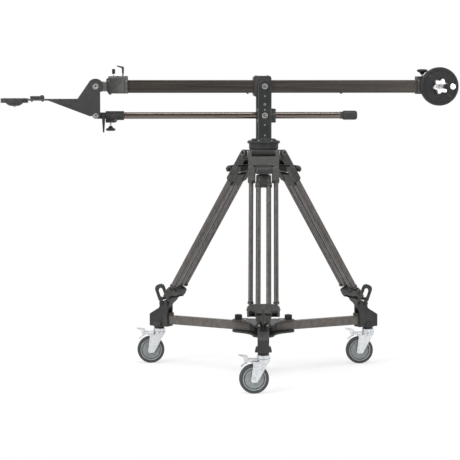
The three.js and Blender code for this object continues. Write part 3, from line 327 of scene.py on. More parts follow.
def carve(form, *tools):
    """The form with the tools cut out of it, by an exact boolean."""
    scene = bpy.context.scene
    body = bpy.data.objects.new("carving", mesh_of(form, "carving"))
    scene.collection.objects.link(body)
    made = [body]
    for number, tool in enumerate(tools):
        other = bpy.data.objects.new("carver", mesh_of(tool, "carver"))
        scene.collection.objects.link(other)
        made.append(other)
        step = body.modifiers.new(f"cut{number}", "BOOLEAN")
        step.operation = "DIFFERENCE"
        step.solver = "EXACT"
        step.object = other
    bpy.context.view_layer.update()
    result = body.evaluated_get(bpy.context.evaluated_depsgraph_get()).to_mesh()
    out = Form([v.co.copy() for v in result.vertices], [tuple(p.vertices) for p in result.polygons])
    out.tones = [p.material_index for p in result.polygons]
    body.evaluated_get(bpy.context.evaluated_depsgraph_get()).to_mesh_clear()
    for thing in made:
        data = thing.data
        bpy.data.objects.remove(thing)
        bpy.data.meshes.remove(data)
    return out


def piece(name, body, materials, matrix, form, replaces=None):
    """A visible piece that rides on a body; the form's tones count its materials."""
    materials = materials if isinstance(materials, (list, tuple)) else [materials]
    obj = bpy.data.objects.new(name, mesh_of(form.at(matrix), name))
    bpy.context.scene.collection.objects.link(obj)
    for material in materials:
        obj.data.materials.append(material)
    weighted = obj.modifiers.new("normals", "WEIGHTED_NORMAL")
    weighted.keep_sharp = True
    weighted.weight = 60
    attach(obj, body)
    if replaces:
        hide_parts(replaces)


# ---------------------------------------------------------------- materials
def linear(value):
    value /= 255
    return value / 12.92 if value <= 0.04045 else ((value + 0.055) / 1.055) ** 2.4


def rgb(r, g, b):
    return (linear(r), linear(g), linear(b), 1)


def node(tree, kind, values):
    """A new node with its inputs set."""
    made = tree.nodes.new(kind)
    for name, value in values.items():
        made.inputs[name].default_value = value
    return made


def material(name, dark, light, rough=(0.4, 0.55), metallic=0.0, specular=0.3, size=0.02, stretch=(1, 1, 1),
        grain=0.001, bump=0.1, edge_highlight=None, edge_highlight_at=(0.53, 0.62), coat=0.0, contrast=(0.35, 0.65)):
    """Two close colours in soft patches, a fine grain in the bump and the gloss, and a painted highlight:
    paler edges, found by pointiness.
    """
    made = bpy.data.materials.new(name)
    made.use_nodes = True
    tree = made.node_tree
    tree.nodes.clear()
    link = tree.links.new
    out = tree.nodes.new("ShaderNodeOutputMaterial")
    shader = node(tree, "ShaderNodeBsdfPrincipled", {"Metallic": metallic, "Specular IOR Level": specular})
    link(shader.outputs["BSDF"], out.inputs["Surface"])
    if coat:
        shader.inputs["Coat Weight"].default_value = coat
        shader.inputs["Coat Roughness"].default_value = 0.25
    where = tree.nodes.new("ShaderNodeTexCoord")
    scale = node(tree, "ShaderNodeMapping", {"Scale": stretch})
    link(where.outputs["Object"], scale.inputs["Vector"])

    patches = node(tree, "ShaderNodeTexNoise", {"Scale": 1 / size, "Detail": 4, "Roughness": 0.6})
    link(scale.outputs["Vector"], patches.inputs["Vector"])
    ramp = node(tree, "ShaderNodeMapRange", {"From Min": contrast[0], "From Max": contrast[1]})
    link(patches.outputs["Fac"], ramp.inputs["Value"])
    colour = tree.nodes.new("ShaderNodeMix")
    colour.data_type = "RGBA"
    colour.inputs["A"].default_value = rgb(*dark)
    colour.inputs["B"].default_value = rgb(*light)
    link(ramp.outputs["Result"], colour.inputs["Factor"])
    shade = colour.outputs["Result"]
    # Painted highlight: edges found by pointiness take a paler colour, broken up by the patches.
    if edge_highlight:
        near = tree.nodes.new("ShaderNodeNewGeometry")
        edge = node(tree, "ShaderNodeMapRange", {"From Min": edge_highlight_at[0], "From Max": edge_highlight_at[1]})
        link(near.outputs["Pointiness"], edge.inputs["Value"])
        broken = tree.nodes.new("ShaderNodeMath")
        broken.operation = "MULTIPLY"
        link(edge.outputs["Result"], broken.inputs[0])
        link(patches.outputs["Fac"], broken.inputs[1])
        highlighted_edge = tree.nodes.new("ShaderNodeMix")
        highlighted_edge.data_type = "RGBA"
        highlighted_edge.inputs["B"].default_value = rgb(*edge_highlight)
        link(broken.outputs["Value"], highlighted_edge.inputs["Factor"])
        link(shade, highlighted_edge.inputs["A"])
        shade = highlighted_edge.outputs["Result"]
    link(shade, shader.inputs["Base Color"])

    fine = node(tree, "ShaderNodeTexNoise", {"Scale": 1 / grain, "Detail": 3})
    link(scale.outputs["Vector"], fine.inputs["Vector"])
    gloss = node(tree, "ShaderNodeMapRange", {"From Min": 0.3, "From Max": 0.7, "To Min": rough[0],
        "To Max": rough[1]})
    link(fine.outputs["Fac"], gloss.inputs["Value"])
    link(gloss.outputs["Result"], shader.inputs["Roughness"])
    relief = node(tree, "ShaderNodeBump", {"Strength": bump, "Distance": grain * 0.5})
    link(fine.outputs["Fac"], relief.inputs["Height"])
    link(relief.outputs["Normal"], shader.inputs["Normal"])
    return made


ALONG_X, ALONG_Z = (0.03, 1, 1), (1, 1, 0.03)
# The paler edge colour given to these materials is a painted highlight on their edges, the rubber's and the
# hub's too.
cast_black = material("cast_black", (45, 46, 45), (54, 55, 54), (0.42, 0.6), size=0.03, grain=0.0009,
    bump=0.25, edge_highlight=(96, 96, 94))
plate_black = material("plate_black", (50, 51, 51), (58, 59, 58), (0.4, 0.55), size=0.05, grain=0.0007,
    bump=0.18, edge_highlight=(104, 104, 102))
leg_black = material("leg_black", (56, 56, 54), (66, 65, 63), (0.42, 0.58), size=0.03, grain=0.0009,
    bump=0.25, edge_highlight=(108, 106, 103))
plastic_black = material("plastic_black", (34, 34, 34), (42, 42, 41), (0.5, 0.65), size=0.01, grain=0.0006,
    bump=0.15, edge_highlight=(80, 80, 78))
# A near-black of painted shade, for holes, sockets, seams, slots and the hollows under overhangs.
painted_shade_black = material("painted_shade_black", (16, 16, 16), (22, 22, 22), (0.7, 0.85), size=0.01, grain=0.0008)
dark_cast = material("dark_cast", (32, 33, 33), (42, 43, 42), (0.4, 0.55), specular=0.24, size=0.03,
    grain=0.0009, bump=0.22, edge_highlight=(104, 104, 102), edge_highlight_at=(0.52, 0.6))
yoke_black = material("yoke_black", (36, 38, 38), (46, 48, 48), (0.38, 0.52), specular=0.26, size=0.05,
    grain=0.0007, bump=0.2, edge_highlight=(112, 113, 113), edge_highlight_at=(0.515, 0.58))
lever_grey = material("lever_grey", (44, 45, 44), (54, 55, 54), (0.42, 0.58), size=0.01, grain=0.0006,
    bump=0.15, edge_highlight=(118, 118, 116), edge_highlight_at=(0.52, 0.6))
boom_brown = material("boom_brown", (40, 35, 31), (56, 50, 45), (0.3, 0.42), 0.3, size=0.012, stretch=ALONG_X,
    grain=0.0011, bump=0.16, edge_highlight=(120, 112, 106))
rod_brown = material("rod_brown", (104, 95, 89), (124, 114, 107), (0.18, 0.27), 0.92, size=0.012,
    stretch=ALONG_X, grain=0.001, bump=0.12)
tube_grey = material("tube_grey", (100, 99, 98), (118, 116, 115), (0.2, 0.3), 0.85, size=0.014,
    stretch=ALONG_Z, grain=0.001, bump=0.1)
tube_brown = material("tube_brown", (96, 91, 89), (112, 107, 105), (0.2, 0.3), 0.85, size=0.014,
    stretch=ALONG_Z, grain=0.001, bump=0.1)
inner_grey = material("inner_grey", (122, 120, 115), (140, 137, 131), (0.28, 0.4), 0.6, size=0.012,
    stretch=ALONG_X, grain=0.001, bump=0.12)
arm_grey = material("arm_grey", (86, 82, 79), (104, 99, 95), (0.36, 0.5), 0.35, size=0.02, grain=0.0008,
    bump=0.15, edge_highlight=(140, 134, 128))
zinc = material("zinc", (206, 209, 212), (232, 234, 236), (0.2, 0.34), 0.85, size=0.012, grain=0.0012,
    bump=0.08, contrast=(0.3, 0.7))
steel = material("steel", (168, 169, 166), (196, 197, 193), (0.22, 0.36), 0.9, size=0.01, grain=0.0007,
    bump=0.08)
rubber = material("rubber", (66, 68, 70), (78, 81, 83), (0.6, 0.75), size=0.02, grain=0.0006, bump=0.2,
    edge_highlight=(104, 106, 107))
hub_grey = material("hub_grey", (128, 134, 134), (146, 152, 151), (0.4, 0.52), size=0.02, grain=0.0008,
    bump=0.12, edge_highlight=(196, 200, 199))
# A pale grey of painted highlight, for small raised rims and the glints round holes.
painted_rim_highlight = material("painted_rim_highlight", (150, 153, 154), (170, 173, 174), (0.35, 0.5), size=0.02, grain=0.0008,
    bump=0.1)
chrome = material("chrome", (214, 215, 216), (230, 231, 232), (0.06, 0.12), 1.0, size=0.03, grain=0.002,
    bump=0.02)
star_bright = material("star_bright", (222, 223, 222), (240, 240, 238), (0.2, 0.36), 0.8, size=0.01,
    grain=0.0009, bump=0.12)
disc_black = material("disc_black", (36, 37, 37), (48, 49, 48), (0.5, 0.68), size=0.006, grain=0.0012,
    bump=0.5, edge_highlight=(78, 79, 78))
glass_green = material("glass_green", (150, 186, 96), (170, 204, 112), (0.05, 0.1), size=0.01, grain=0.002,
    bump=0.01, coat=0.6)

# ---------------------------------------------------------------- casters
for i in range(3):
    n = i + 1
    here = caster(i)
    axle = here @ go(AXLE_X, 0, AXLE_UP)
    half = [(49.2, 12.5), (49.2, 14.6), (50.4, 15.4), (53.2, 15.4), (54.2, 16.2), (57, 16.2), (60.6, 14.6),
        (62.2, 11.5), (62.5, 8), (62.5, 0)]
    tyre = lathe(half + [(r, -h) for r, h in half[-2::-1]], "y", 96, closed=True)
    piece(f"caster_tyre_{n}", f"wheel_{n}", rubber, axle, tyre, f"caster_wheel_{n}")
    face = [(6.4, 18.7), (12.6, 18.7), (14, 17.6), (14.6, 13.2), (16, 12.2), (38.6, 11.6), (40.2, 12.6),
        (41, 12.6), (41.6, 8.4), (43.8, 8.4), (44.4, 14.2), (45.4, 15.2), (48.4, 15.2), (49.4, 14), (49.4, 8)]
    hub = lathe(face + [(r, -h) for r, h in face[::-1]], "y", 96, closed=True)
    # The near-black groove ring is painted shade, and the pale ring on the raised rim is a painted highlight.
    hub += ring("y", 41.8, 43.6, 8, 9, 0.1, 96, 2) + ring("y", 41.8, 43.6, -9, -8, 0.1, 96, 2)
    hub += ring("y", 45.2, 48.8, 14.4, 15.4, 0.4, 96, 1) + ring("y", 45.2, 48.8, -15.4, -14.4, 0.4, 96, 1)
    piece(f"caster_hub_{n}", f"wheel_{n}", [hub_grey, painted_rim_highlight, painted_shade_black], axle, hub)

    outline = rounded([(22, 136), (-54, 136), (-45, 125), (-54, 53), (-48, 47.5), (-27, 47.5), (-18, 62.5)],
        [1, 4, 10, 7, 7, 7, 14], 5)
    fork = mirrored(outline, 19, 22, 1)
    groove = rounded([(10, 131), (-40, 131), (-47, 62), (-39, 51), (-30, 54), (-22, 68)], 5)
    fork += mirrored(groove, 22, 22.7, 0.6)
    fork += block(-54, 22, -22, 22, 132.6, 136, 1.6)
    fork += lathe([(0, 133), (27, 133), (27, 139.5), (25.6, 140.5), (27, 141.5), (27, 144.5), (0, 144.5)],
        "z", 72, radius=0.7)
    fork += slab(rounded([(-54, -22), (30, -22), (30, 22), (-54, 22)], [3, 12, 12, 3], 6), 144, 147, "z", 1)
    fork += lathe([(0, 147), (26.6, 147), (28, 148.6), (28, 160.6), (25.8, 162.7), (0, 162.7)], "z", 72,
        radius=0.8)
    fork += block(-67, -52, 16, 19, 133, 147, 1) + block(-67, -52, -19, -16, 133, 147, 1)
    fork += rod("y", 3, -19.6, 19.6, 0.5, 24).at(go(PEDAL_X, 0, PEDAL_UP))
    fork += rod("y", 6, -26.6, 26.6, 1, 32).at(go(AXLE_X, 0, AXLE_UP))
    for side in (1, -1):
        nut = slab(circle(7.6, 6), 0, 5, "z", 0.7) + rod("z", 9, 0, 1.2, 0.4, 40)
        fork += nut.at(go(AXLE_X, 22 * side, AXLE_UP) @ SIDEWAYS[side])
    piece(f"caster_fork_shell_{n}", f"caster_{n}", [zinc, steel], here, fork, f"caster_fork_{n}")

    top = rounded([(-67, 152), (-66, 159.6), (-105, 164.6), (-106, 161.4), (-84, 152), (-80, 146),
        (-72, 147)], 2.5, 4)
    web = rounded([(-66, 135), (-60, 141), (-62, 148), (-67, 157), (-84, 156), (-82, 146), (-82, 136),
        (-71, 129)], 4, 4)
    guard = arc(AXLE_X, AXLE_UP, 76.5, 137, 113, 8) + arc(AXLE_X, AXLE_UP, 73, 113, 137, 8)
    pedal = slab(top, -15.7, 15.7, "y", 1.2) + slab(web, -11, 11, "y", 1.6) + slab(guard, -15.7, 15.7, "y",
        0.9)
    pedal += ring("y", 3.3, 6.2, -15.6, 15.6, 0.6, 32).at(go(PEDAL_X, 0, PEDAL_UP))
    for k in range(4):
        x = -74 - 8 * k
        pedal += block(x - 1.4, x + 1.4, -12, 12, 160, 161.2 + (-66 - x) * 0.128, 0.5)
    piece(f"brake_pedal_shell_{n}", f"pedal_{n}", zinc, here, pedal, f"brake_pedal_{n}")

# ---------------------------------------------------------------- dolly
LOBE_OUT, LOBE_RADIUS, WAIST_OUT = 107, 48, 62


def hub_outline():
    """Three round lobes joined by curved waists."""
    points = []
    for azimuth in AZIMUTHS:
        points += arc(*polar(LOBE_OUT, azimuth), LOBE_RADIUS, azimuth - 90, azimuth + 90, 16)
        start = Vector(points[-1])
        mid = polar(WAIST_OUT, azimuth + 60)
        end = polar(LOBE_OUT, azimuth + 120) + polar(LOBE_RADIUS, azimuth + 30)
        for k in range(1, 10):
            t = k / 10
            points.append(tuple(start * (1 - t) ** 2 + mid * 2 * t * (1 - t) + end * t * t))
    return points


hub = hub_outline()
screws = [polar(ARM_LOCK_OUT, a) for a in AZIMUTHS]
holes = [circle(5.6, 24, x, y) for x, y in screws]
upper = slab(hub, 225, 232, "z", 1.6, holes, 3)
upper += lathe([(0, 232), (24, 232), (24, 233.4), (22, 234.4), (0, 234.4)], "z", 64, radius=0.5)
for a in AZIMUTHS:
    for side in (-1, 1):
        upper += socket_bolt(5, 4, 1, 2).at(turn("Z", a) @ go(84, 17 * side, 231.6))
piece("hub_plate_upper", "dolly", [cast_black, steel, painted_shade_black], ROW, upper, "dolly_hub_upper_plate")
lower = slab(hub, 176, 185, "z", 1.8, holes, 3)
for a in AZIMUTHS:
    lower += block(30, 62, -20, 20, 184, 225.6, 2).at(turn("Z", a))
piece("hub_plate_lower", "dolly", cast_black, ROW, lower, "dolly_hub_lower_plate")

for i in range(3):
    n = i + 1
    here = sector(i)
    arm = slab(rectangle(-13, 13, 185, 225, 1.6, 4), 62, 516, "x", 0.6)
    piece(f"dolly_arm_bar_{n}", "dolly", [arm_grey, steel], here, arm, f"dolly_arm_{n}")

    knob = slab(wavy(17, 30, 1.4, 4), 234.3, 251.5, "z", 0.8)
    knob += lathe([(0, 232.3), (14.5, 232.3), (15.2, 234.6), (15.2, 251), (13, 253.3), (0, 252.8)], "z", 48,
        radius=0.6)
    knob += rod("z", 5, 176, 240, 0.8, 24)
    piece(f"arm_lock_grip_{n}", f"arm_lock_{n}", plastic_black, here @ go(ARM_LOCK_OUT), knob,
        f"arm_lock_knob_{n}")

    outline = rounded([(498, 173), (596, 173), (596, 229), (541, 262), (541, 292), (498, 292)], [2, 4, 6, 14,
        4, 4], 5)
    body = carve(slab(outline, -24.5, 24.5, "y", 2, steps=3), box(480, 548, -15.3, 15.3, 233, 300), box(480,
        516.3, -13.3, 13.3, 184.7, 225.3))
    flange = rounded([(-35.5, 173), (35.5, 173), (35.5, 178), (31, 195), (-31, 195), (-35.5, 178)], 2, 3)
    body += slab(flange, 530, 570, "x", 2)
    body += lathe([(0, 163), (21.5, 163), (23.5, 165), (23.5, 173.5), (0, 173.5)], "z", 64,
        radius=1).at(go(KINGPIN_OUT))
    body += rod("z", 8.4, 134, 170, 0.6, 32).at(go(KINGPIN_OUT))
    for side in (-1, 1):
        way = SIDEWAYS[side]
        body += lathe([(0, 0), (4, 0), (4, 6), (6.4, 6.2), (6.4, 8.2), (0, 8.8)], "z", 32, tone=1,
            radius=0.4).at(go(LATCH_OUT, 24 * side, LATCH_UP) @ way)
        body += block(500, 520, 24.2 * side - 0.6, 24.2 * side + 0.6, 182, 229, 0.5)
    body += block(500, 517, -17, 17, 229, 233.2, 1) + block(485, 501, -14, 14, 225.6, 237.5, 1.4)
    for y in (-17.5, 17.5):
        body += lathe([(0, 0), (3.4, 0), (3.4, 1.4), (2.6, 2), (0, 2)], "z", 24, tone=3,
            radius=0.3).at(go(540.6, y, 283) @ FORWARD)
    piece(f"foot_bracket_cast_{n}", "dolly", [cast_black, plate_black, painted_shade_black, steel], here, body,
        f"foot_bracket_{n}")

    cheek = rounded([(-7, 0), (7, 0), (7, 28), (-12, 28), (-12, 16), (-7, 8)], [0, 0, 2, 2, 5, 4], 3)
    latch = Form()
    for low in (24.8, -29.8):
        latch += slab(cheek, low, low + 5, "y", 0.9)
        latch += ring("y", 4.4, 9, low, low + 5, 0.8)
    latch += block(-12, 7, -29.8, 29.8, 16, 28, 1.6)
    loop = rounded([(-29, 14), (23, 14), (23, 88), (-29, 88)], [6, 6, 20, 20], 8)
    loop = slab(loop, -6.5, 6.5, "y", 3.4, [rectangle(-16.5, 10.5, 26.5, 70, 12.5, 8)], 4)
    latch += loop.at(turn("Y", 22))
    piece(f"foot_latch_loop_{n}", f"foot_latch_{n}", plate_black, here @ go(LATCH_OUT, 0, LATCH_UP), latch,
        f"foot_latch_{n}")

# ---------------------------------------------------------------- tripod
crown = lathe([(0, 925), (50, 925), (56, 931), (56, 975), (66, 975), (66, 998), (63, 1002), (0, 1002)], "z",
    96, radius=1.5)
crown += lathe([(0, 915), (24, 915), (26, 925.5), (0, 925.5)], "z", 64, radius=2)
fins = []
for k in range(26):
    y = -52 + 4 * k
    fins += [(9.8, y), (9.8, y + 1.3), (12, y + 1.5), (12, y + 3.8)]
fins = [(0, -52)] + fins + [(0, 52)]
for a in AZIMUTHS:
    spin = turn("Z", a)
    crown += block(20, 62, -52.4, 52.4, 975.4, 998.6, 2).at(spin)
    crown += lathe(fins, "y", 40).at(spin @ go(HINGE_OUT, 0, HINGE_UP))
    crown += block(56, 77.4, -52.4, 52.4, 992.6, 998.6, 1.6, axis="y").at(spin)
    crown += rod("y", 6, -69.5, 69.5, 0.8, 32, 1).at(spin @ go(HINGE_OUT, 0, HINGE_UP))
piece("crown_cast", "crown", [cast_black, steel], ROW, crown, "tripod_crown")

base = lathe([(0, 1002), (62, 1002), (64, 1004), (65.5, 1007), (65.5, 1015), (64.6, 1016), (64.6, 1017.4),
    (65.5, 1018.4), (65.5, 1025.6), (64, 1027), (0, 1027)], "z", 96, radius=0.5)
piece("pan_base_ring", "crown", cast_black, ROW, base, "pan_base")

STATIONS = [-34, -33, -31, -28, -24, -18, -10, 0, 10, 18, 24, 28, 31, 33, 34]
for i in range(3):
    n = i + 1
    here = leg(i)
    side_view = rounded(arc(0, 0, 14, 0, 180, 20) + [(-14, -58), (8, -73), (14, -69)], [0] * 21 + [4, 2, 2],
        3)
    hinge = carve(slab(side_view, -68.5, 68.5, "y", 2.4, steps=3), box(-20, 20, -53, 53, -25, 30))
    hinge = carve(hinge, block(-30, 6.6, -46, 46, -56, -31, 4, axis="x"))
    clamp_view = rounded([(-69.5, -146), (-69.5, -86), (-60, -76), (-38, -76), (-35.6, -84), (-35.6, -146)],
        [7, 8, 9, 8, 2, 2], 6)
    clamp = slab(clamp_view, -14, 14, "x", 3, steps=3)
    clamp += slab([(-y, z) for y, z in clamp_view][::-1], -14, 14, "x", 3, steps=3)
    # The second block is a near-black web of painted shade, in the gap under the hinge between the clamp's
    # cheeks.
    clamp += block(-14, 12.6, -37, 37, -98, -89, 2) + block(-12, 4, -45, 45, -90, -64, 1, 3)
    neck = block(-13.4, 12.6, 44, 67.6, -90, -66, 2)
    top = hinge + clamp + neck + neck.at(go(y=-111.6))
    low_view = [(36, -790), (36, -778), (56, -774), (60, -790), (69.5, -790), (69.5, -750), (52, -740),
        (30, -738)]
    low_view += [(-y, z) for y, z in low_view[::-1]]
    low = slab(rounded(low_view, [1, 4, 4, 3, 4, 10, 20, 30, 30, 20, 10, 4, 3, 4, 4, 1], 5), -14, 14, "x", 3,
        steps=3)
    body = top + low
    dome = rounded([(-31, -787), (31, -787), (31, -770), (20, -750), (-20, -750), (-31, -770)], [2, 2, 16, 18,
        18, 16], 6)
    rim = rounded([(-36, -788), (36, -788), (36, -766), (22, -746), (-22, -746), (-36, -766)], [2, 2, 18, 20,
        20, 18], 6)
    body += slab(dome, 12, 19, "x", 3, steps=4) + slab(rim, 12, 15.4, "x", 1.2, [dome], 3)
    # A near-black strip under the dome: a painted shadow in the slot.
    body += block(11, 15, -30, 30, -790, -785, 1, 3)
    for side in (1, -1):
        body += rod("z", 10.25, -735, -144, 0.5, 48, 1).at(go(0, OUTER_TUBE_Y * side, 0))
        body += ring("z", 10.3, 13, -150, -144, 1, 40).at(go(0, OUTER_TUBE_Y * side, 0))
        body += ring("z", 10.3, 13, -731, -724, 1, 40).at(go(0, OUTER_TUBE_Y * side, 0))
        # The hinge pins' near-black faces, the bolts' sockets and the small near-black dots are painted
        # shade; the thin pale ring is steel.
        pin = rod("z", 8.8, 0, 1.8, 0.4, 40, 3)
        pin += ring("z", 8.7, 10, 0, 2.4, 0.4, 40, 2) + socket_bolt(5.6, 3, 0, 3)
        body += pin.at(go(0, 69.5 * side, 0) @ SIDEWAYS[side])
        for z in (-112, -760):
            body += socket_bolt(4, 2.6, 0, 3).at(go(0, 69.5 * side, z) @ SIDEWAYS[side])
        for z in (-745, -779):
            body += rod("z", 3, 0, 1.2, 0.4, 20, 3).at(go(14, 54 * side, z) @ FORWARD)
    for side, seat in ((1, 90), (-1, 742)):
        reach = rounded([(side * 11, -seat - 8), (side * 24, -seat - 8), (side * 34, -seat), (side * 24, -seat
            + 8), (side * 11, -seat + 8)], [0, 3, 6, 3, 0], 4)
        for y in (27, -35):
            body += slab(reach, y, y + 8, "y", 1)
        body += rod("y", 4, -35.6, 35.6, 0.6, 24, 0).at(go(side * 26, 0, -seat))
    piece(f"leg_upper_cast_{n}", f"leg_upper_{n}", [leg_black, tube_brown, steel, painted_shade_black], here, body,
        f"leg_upper_{n}")

    tongue = slab(rounded([(-33, -111), (-33, -140), (-38, -168), (38, -168), (33, -140), (33, -111)],
        [6, 20, 4, 4, 20, 6], 5), -12, 4, "x", 2, steps=3)
    tongue += slab(rounded([(-26, -114), (-26, -142), (-31, -161), (31, -161), (26, -142), (26, -114)], 4, 4),
        3, 5.4, "x", 1)
    for side in (1, -1):
        tongue += rod("z", 11, -792, -160, 0.5, 48, 1).at(go(0, INNER_TUBE_Y * side, 0))
        tongue += ring("z", 11.05, 13.4, -172, -166, 1, 40).at(go(0, INNER_TUBE_Y * side, 0))
        tongue += socket_bolt(3.6, 2, 2, 3).at(go(5, 18 * side, -140) @ FORWARD)
        tongue += socket_bolt(4, 2.4, 2, 3).at(go(12, 9 * side, -822) @ FORWARD)
    foot = rounded([(-33, -790.3), (-33, -808), (-17, -822), (-15, -865.5), (-7.5, -873), (7.5, -873),
        (15, -865.5), (17, -822), (33, -808), (33, -790.3)], [2, 8, 8, 4, 3, 3, 4, 8, 8, 2], 5)
    tongue += slab(foot, -12, 12, "x", 2.4, steps=3)
    # The near-black V on the foot's face is painted shade, for the foot's pocket.
    spike = [(-14, -814), (-3, -866), (3, -866), (14, -814)]
    tongue += slab(rounded(spike, 2, 3), 11.4, 12.4, "x", 0.4, tone=3)
    tongue += slab(rounded([(u * 0.45, v + 3) for u, v in spike], 1.5, 3), 12, 14, "x", 0.8)
    piece(f"leg_lower_slide_{n}", f"leg_lower_{n}", [leg_black, tube_grey, steel, painted_shade_black], here, tongue,
        f"leg_lower_{n}")

    hood = rounded([(-8, 0), (-5, 6), (5, 6), (12, 0), (19, -8), (30, -15), (34, -24), (32, -35), (23, -45),
        (16, -41), (22, -33), (23, -24), (16, -15), (8, -8)], [2, 3, 3, 4, 6, 8, 8, 8, 3, 3, 6, 6, 6, 2], 5)
    verts = []
    for y in STATIONS:
        t = abs(y) / 34
        high = 8 - 17 * t ** 4
        low = -46 + 15 * t ** 5
        verts += [((x - 4 * t ** 4 if x > 8 else x), y, min(max(z, low), high)) for x, z in hood]
    count = len(hood)
    faces = [(k * count + j, k * count + (j + 1) % count, (k + 1) * count + (j + 1) % count, (k + 1) * count
        + j) for k in range(len(STATIONS) - 1) for j in range(count)]
    faces += [tuple(range(count)), tuple(range((len(STATIONS) - 1) * count, len(STATIONS) * count))]
    shape = carve(Form(verts, faces), rod("y", 15.7, 26.8, 60, 0, 48), rod("y", 15.7, -60, -26.8, 0, 48))
    # The near-black block under the hood is painted shade.
    shape += rod("y", 8, -26.7, 26.7, 1, 40) + block(-3, 5, -20, 20, -40, -6, 3, 1)
    piece(f"leg_lever_grip_{n}", f"leg_lever_{n}", [lever_grey, painted_shade_black], here @ go(26, 0, -90), shape,
        f"leg_lever_{n}")

    half = [(33 * u, min(0, 23 * v)) for u, v in arc(0, 0, 1, 180, 360, 32)]
    shape = slab(rounded(half, [3] + [0] * 31 + [3], 3), -7, 7, "x", 4, steps=4) + rod("y", 8, -26.7, 26.7, 1,
        40)
    shape += slab([(u * 0.72, v * 0.72 - 3) for u, v in half], -8.4, -6, "x", 1)
    shape = carve(shape, *[box(-14, 14, y, y + 8.6, -16, 14) for y in (26.7, -35.3)])
    piece(f"leg_clamp_grip_{n}", f"leg_clamp_{n}", lever_grey, here @ go(-26, 0, -742) @ turn("Y", 25), shape,
        f"leg_clamp_{n}")

# ---------------------------------------------------------------- column
outline = [(-30.5, 1047), (30.5, 1047)] + arc(0, BOOM_UP, 30.5, 0, 180, 32)
yoke = mirrored(outline, 33, 45, 5.2, [circle(10.4, 40, 0, BOOM_UP), circle(10.4, 40, 0, ROD_UP)], 5)
yoke += lathe([(0, 1027.3), (70.5, 1027.3), (72.5, 1029), (72.5, 1037.6), (70, 1040), (0, 1040)], "z", 96,
    radius=0.8)
yoke += lathe([(0, 1039), (55, 1039), (55, 1046), (52, 1049), (0, 1049)], "z", 96, radius=1)
yoke += block(-26, 26, -33.4, 33.4, 1048, 1056, 2)
for side in (-1, 1):
    way = SIDEWAYS[side]
    for z in (BOOM_UP, ROD_UP):
        yoke += ring("z", 8, 12.4, 0, 1.8, 0.5, 48, 1).at(go(0, 45 * side, z) @ way)
    # Hole marks: a pale ring of painted highlight round a near-black centre of painted shade.
    for z, r in ((1237, 3.2), (1201, 5), (1177, 3.2), (1110, 3), (1064, 3.4)):
        yoke += ring("z", r * 0.55, r, -0.4, 0.5, 0.25, 32, 2).at(go(0, 45 * side, z) @ way)
        yoke += rod("z", r * 0.6, -0.4, 0.2, 0.1, 24, 3).at(go(0, 45 * side, z) @ way)
for a in (-118, -62, -20, 20, 62, 118, 160, 200):
    yoke += socket_bolt(4.2, 3.6, 1, 3).at(turn("Z", a) @ go(62, 0, 1039.4))
piece("yoke_cast", "column", [yoke_black, steel, painted_rim_highlight, painted_shade_black], ROW, yoke, "column_yoke")

knob = rod("y", 4, 72.8, 96, 0.5, 24, 1) + slab(wavy(15, 24, 1.6, 4), 83, 102, "y", 1)
knob += lathe([(0, 81.5), (11, 81.5), (12.6, 83), (12.6, 102), (11, 103.5), (0, 103.5)], "y", 40, radius=0.6)
piece("pan_lock_grip", "pan_lock", [plastic_black, steel], ROW @ go(0, 0, 1033.65), knob, "pan_lock_knob")

tube_hole = rectangle(-24.05, 24.05, 1251.45, 1308.55, 6, 5)
body = slab(rectangle(-47, 31, 1235, 1327, 12, 8), -32.7, 32.7, "y", 3, steps=3)
body = carve(body, slab(tube_hole, -60, 60, "x", 0))
pivot = Form()
for side in (-1, 1):
    way = SIDEWAYS[side]
    head = rod("z", 7.8, 0, 1.2, 0.4, 40, 2)
    # The pivot heads' near-black hexagons are painted shade in the sockets.
    head += ring("z", 2.6, 4.2, 1, 2, 0.3, 24, 1) + rod("z", 2.6, 0.6, 1.3, 0.1, 6, 3)
    pivot += head.at(go(0, 44.4 * side, 0) @ way)
    low, high = (32, 33.4) if side > 0 else (-33, -32)
    body += slab(rectangle(-40, 24, 1242, 1320, 9, 6), low, high, "y", 0.5)
pivot += rod("y", 10, -44.6, 44.6, 0.5, 40, 2)
body += pivot.at(go(z=BOOM_UP))
for x in (-34, 18):
    for y in (-16, 16):
        body += socket_bolt(4, 3, 1, 3).at(go(x, y, 1326.6))
piece("saddle_cast", "boom", [dark_cast, steel, leg_black, painted_shade_black], ROW, body, "saddle")

rod_bore = rod("x", 15.2, -60, 80, 0, 48).at(go(z=ROD_UP))
body = carve(block(-28, 50, -32.7, 32.7, 1120, 1182, 2.4, axis="y"), rod_bore)
for k in range(9):
    z = 1125.4 + k * 6.6
    body += block(31, 50.8, -33.3, 33.3, z - 1.7, z + 1.7, 0.7)
body = carve(body, rod_bore)
body += pivot.at(go(z=ROD_UP))
piece("rod_block_cast", "rod", [dark_cast, steel, leg_black, painted_shade_black], ROW, body, "rod_pivot_block")

# ---------------------------------------------------------------- boom
def bar_outline(width, height, corner):
    return rectangle(-width / 2, width / 2, BOOM_UP - height / 2, BOOM_UP + height / 2, corner, 6)


tube = slab(bar_outline(48, 57, 6), -690, 740, "x", 0.5, [bar_outline(42, 51, 3)])
for x in (-72, 347):
    tube += lathe([(0, -4.6), (3.4, -4.2), (5, -2.4), (5, 0.6), (0, 0.6)], "z", 32, tone=1,
        radius=0.5).at(go(x, 0, 1251.5))
piece("boom_tube", "boom", [boom_brown, plastic_black], ROW, tube, "boom_outer_tube")

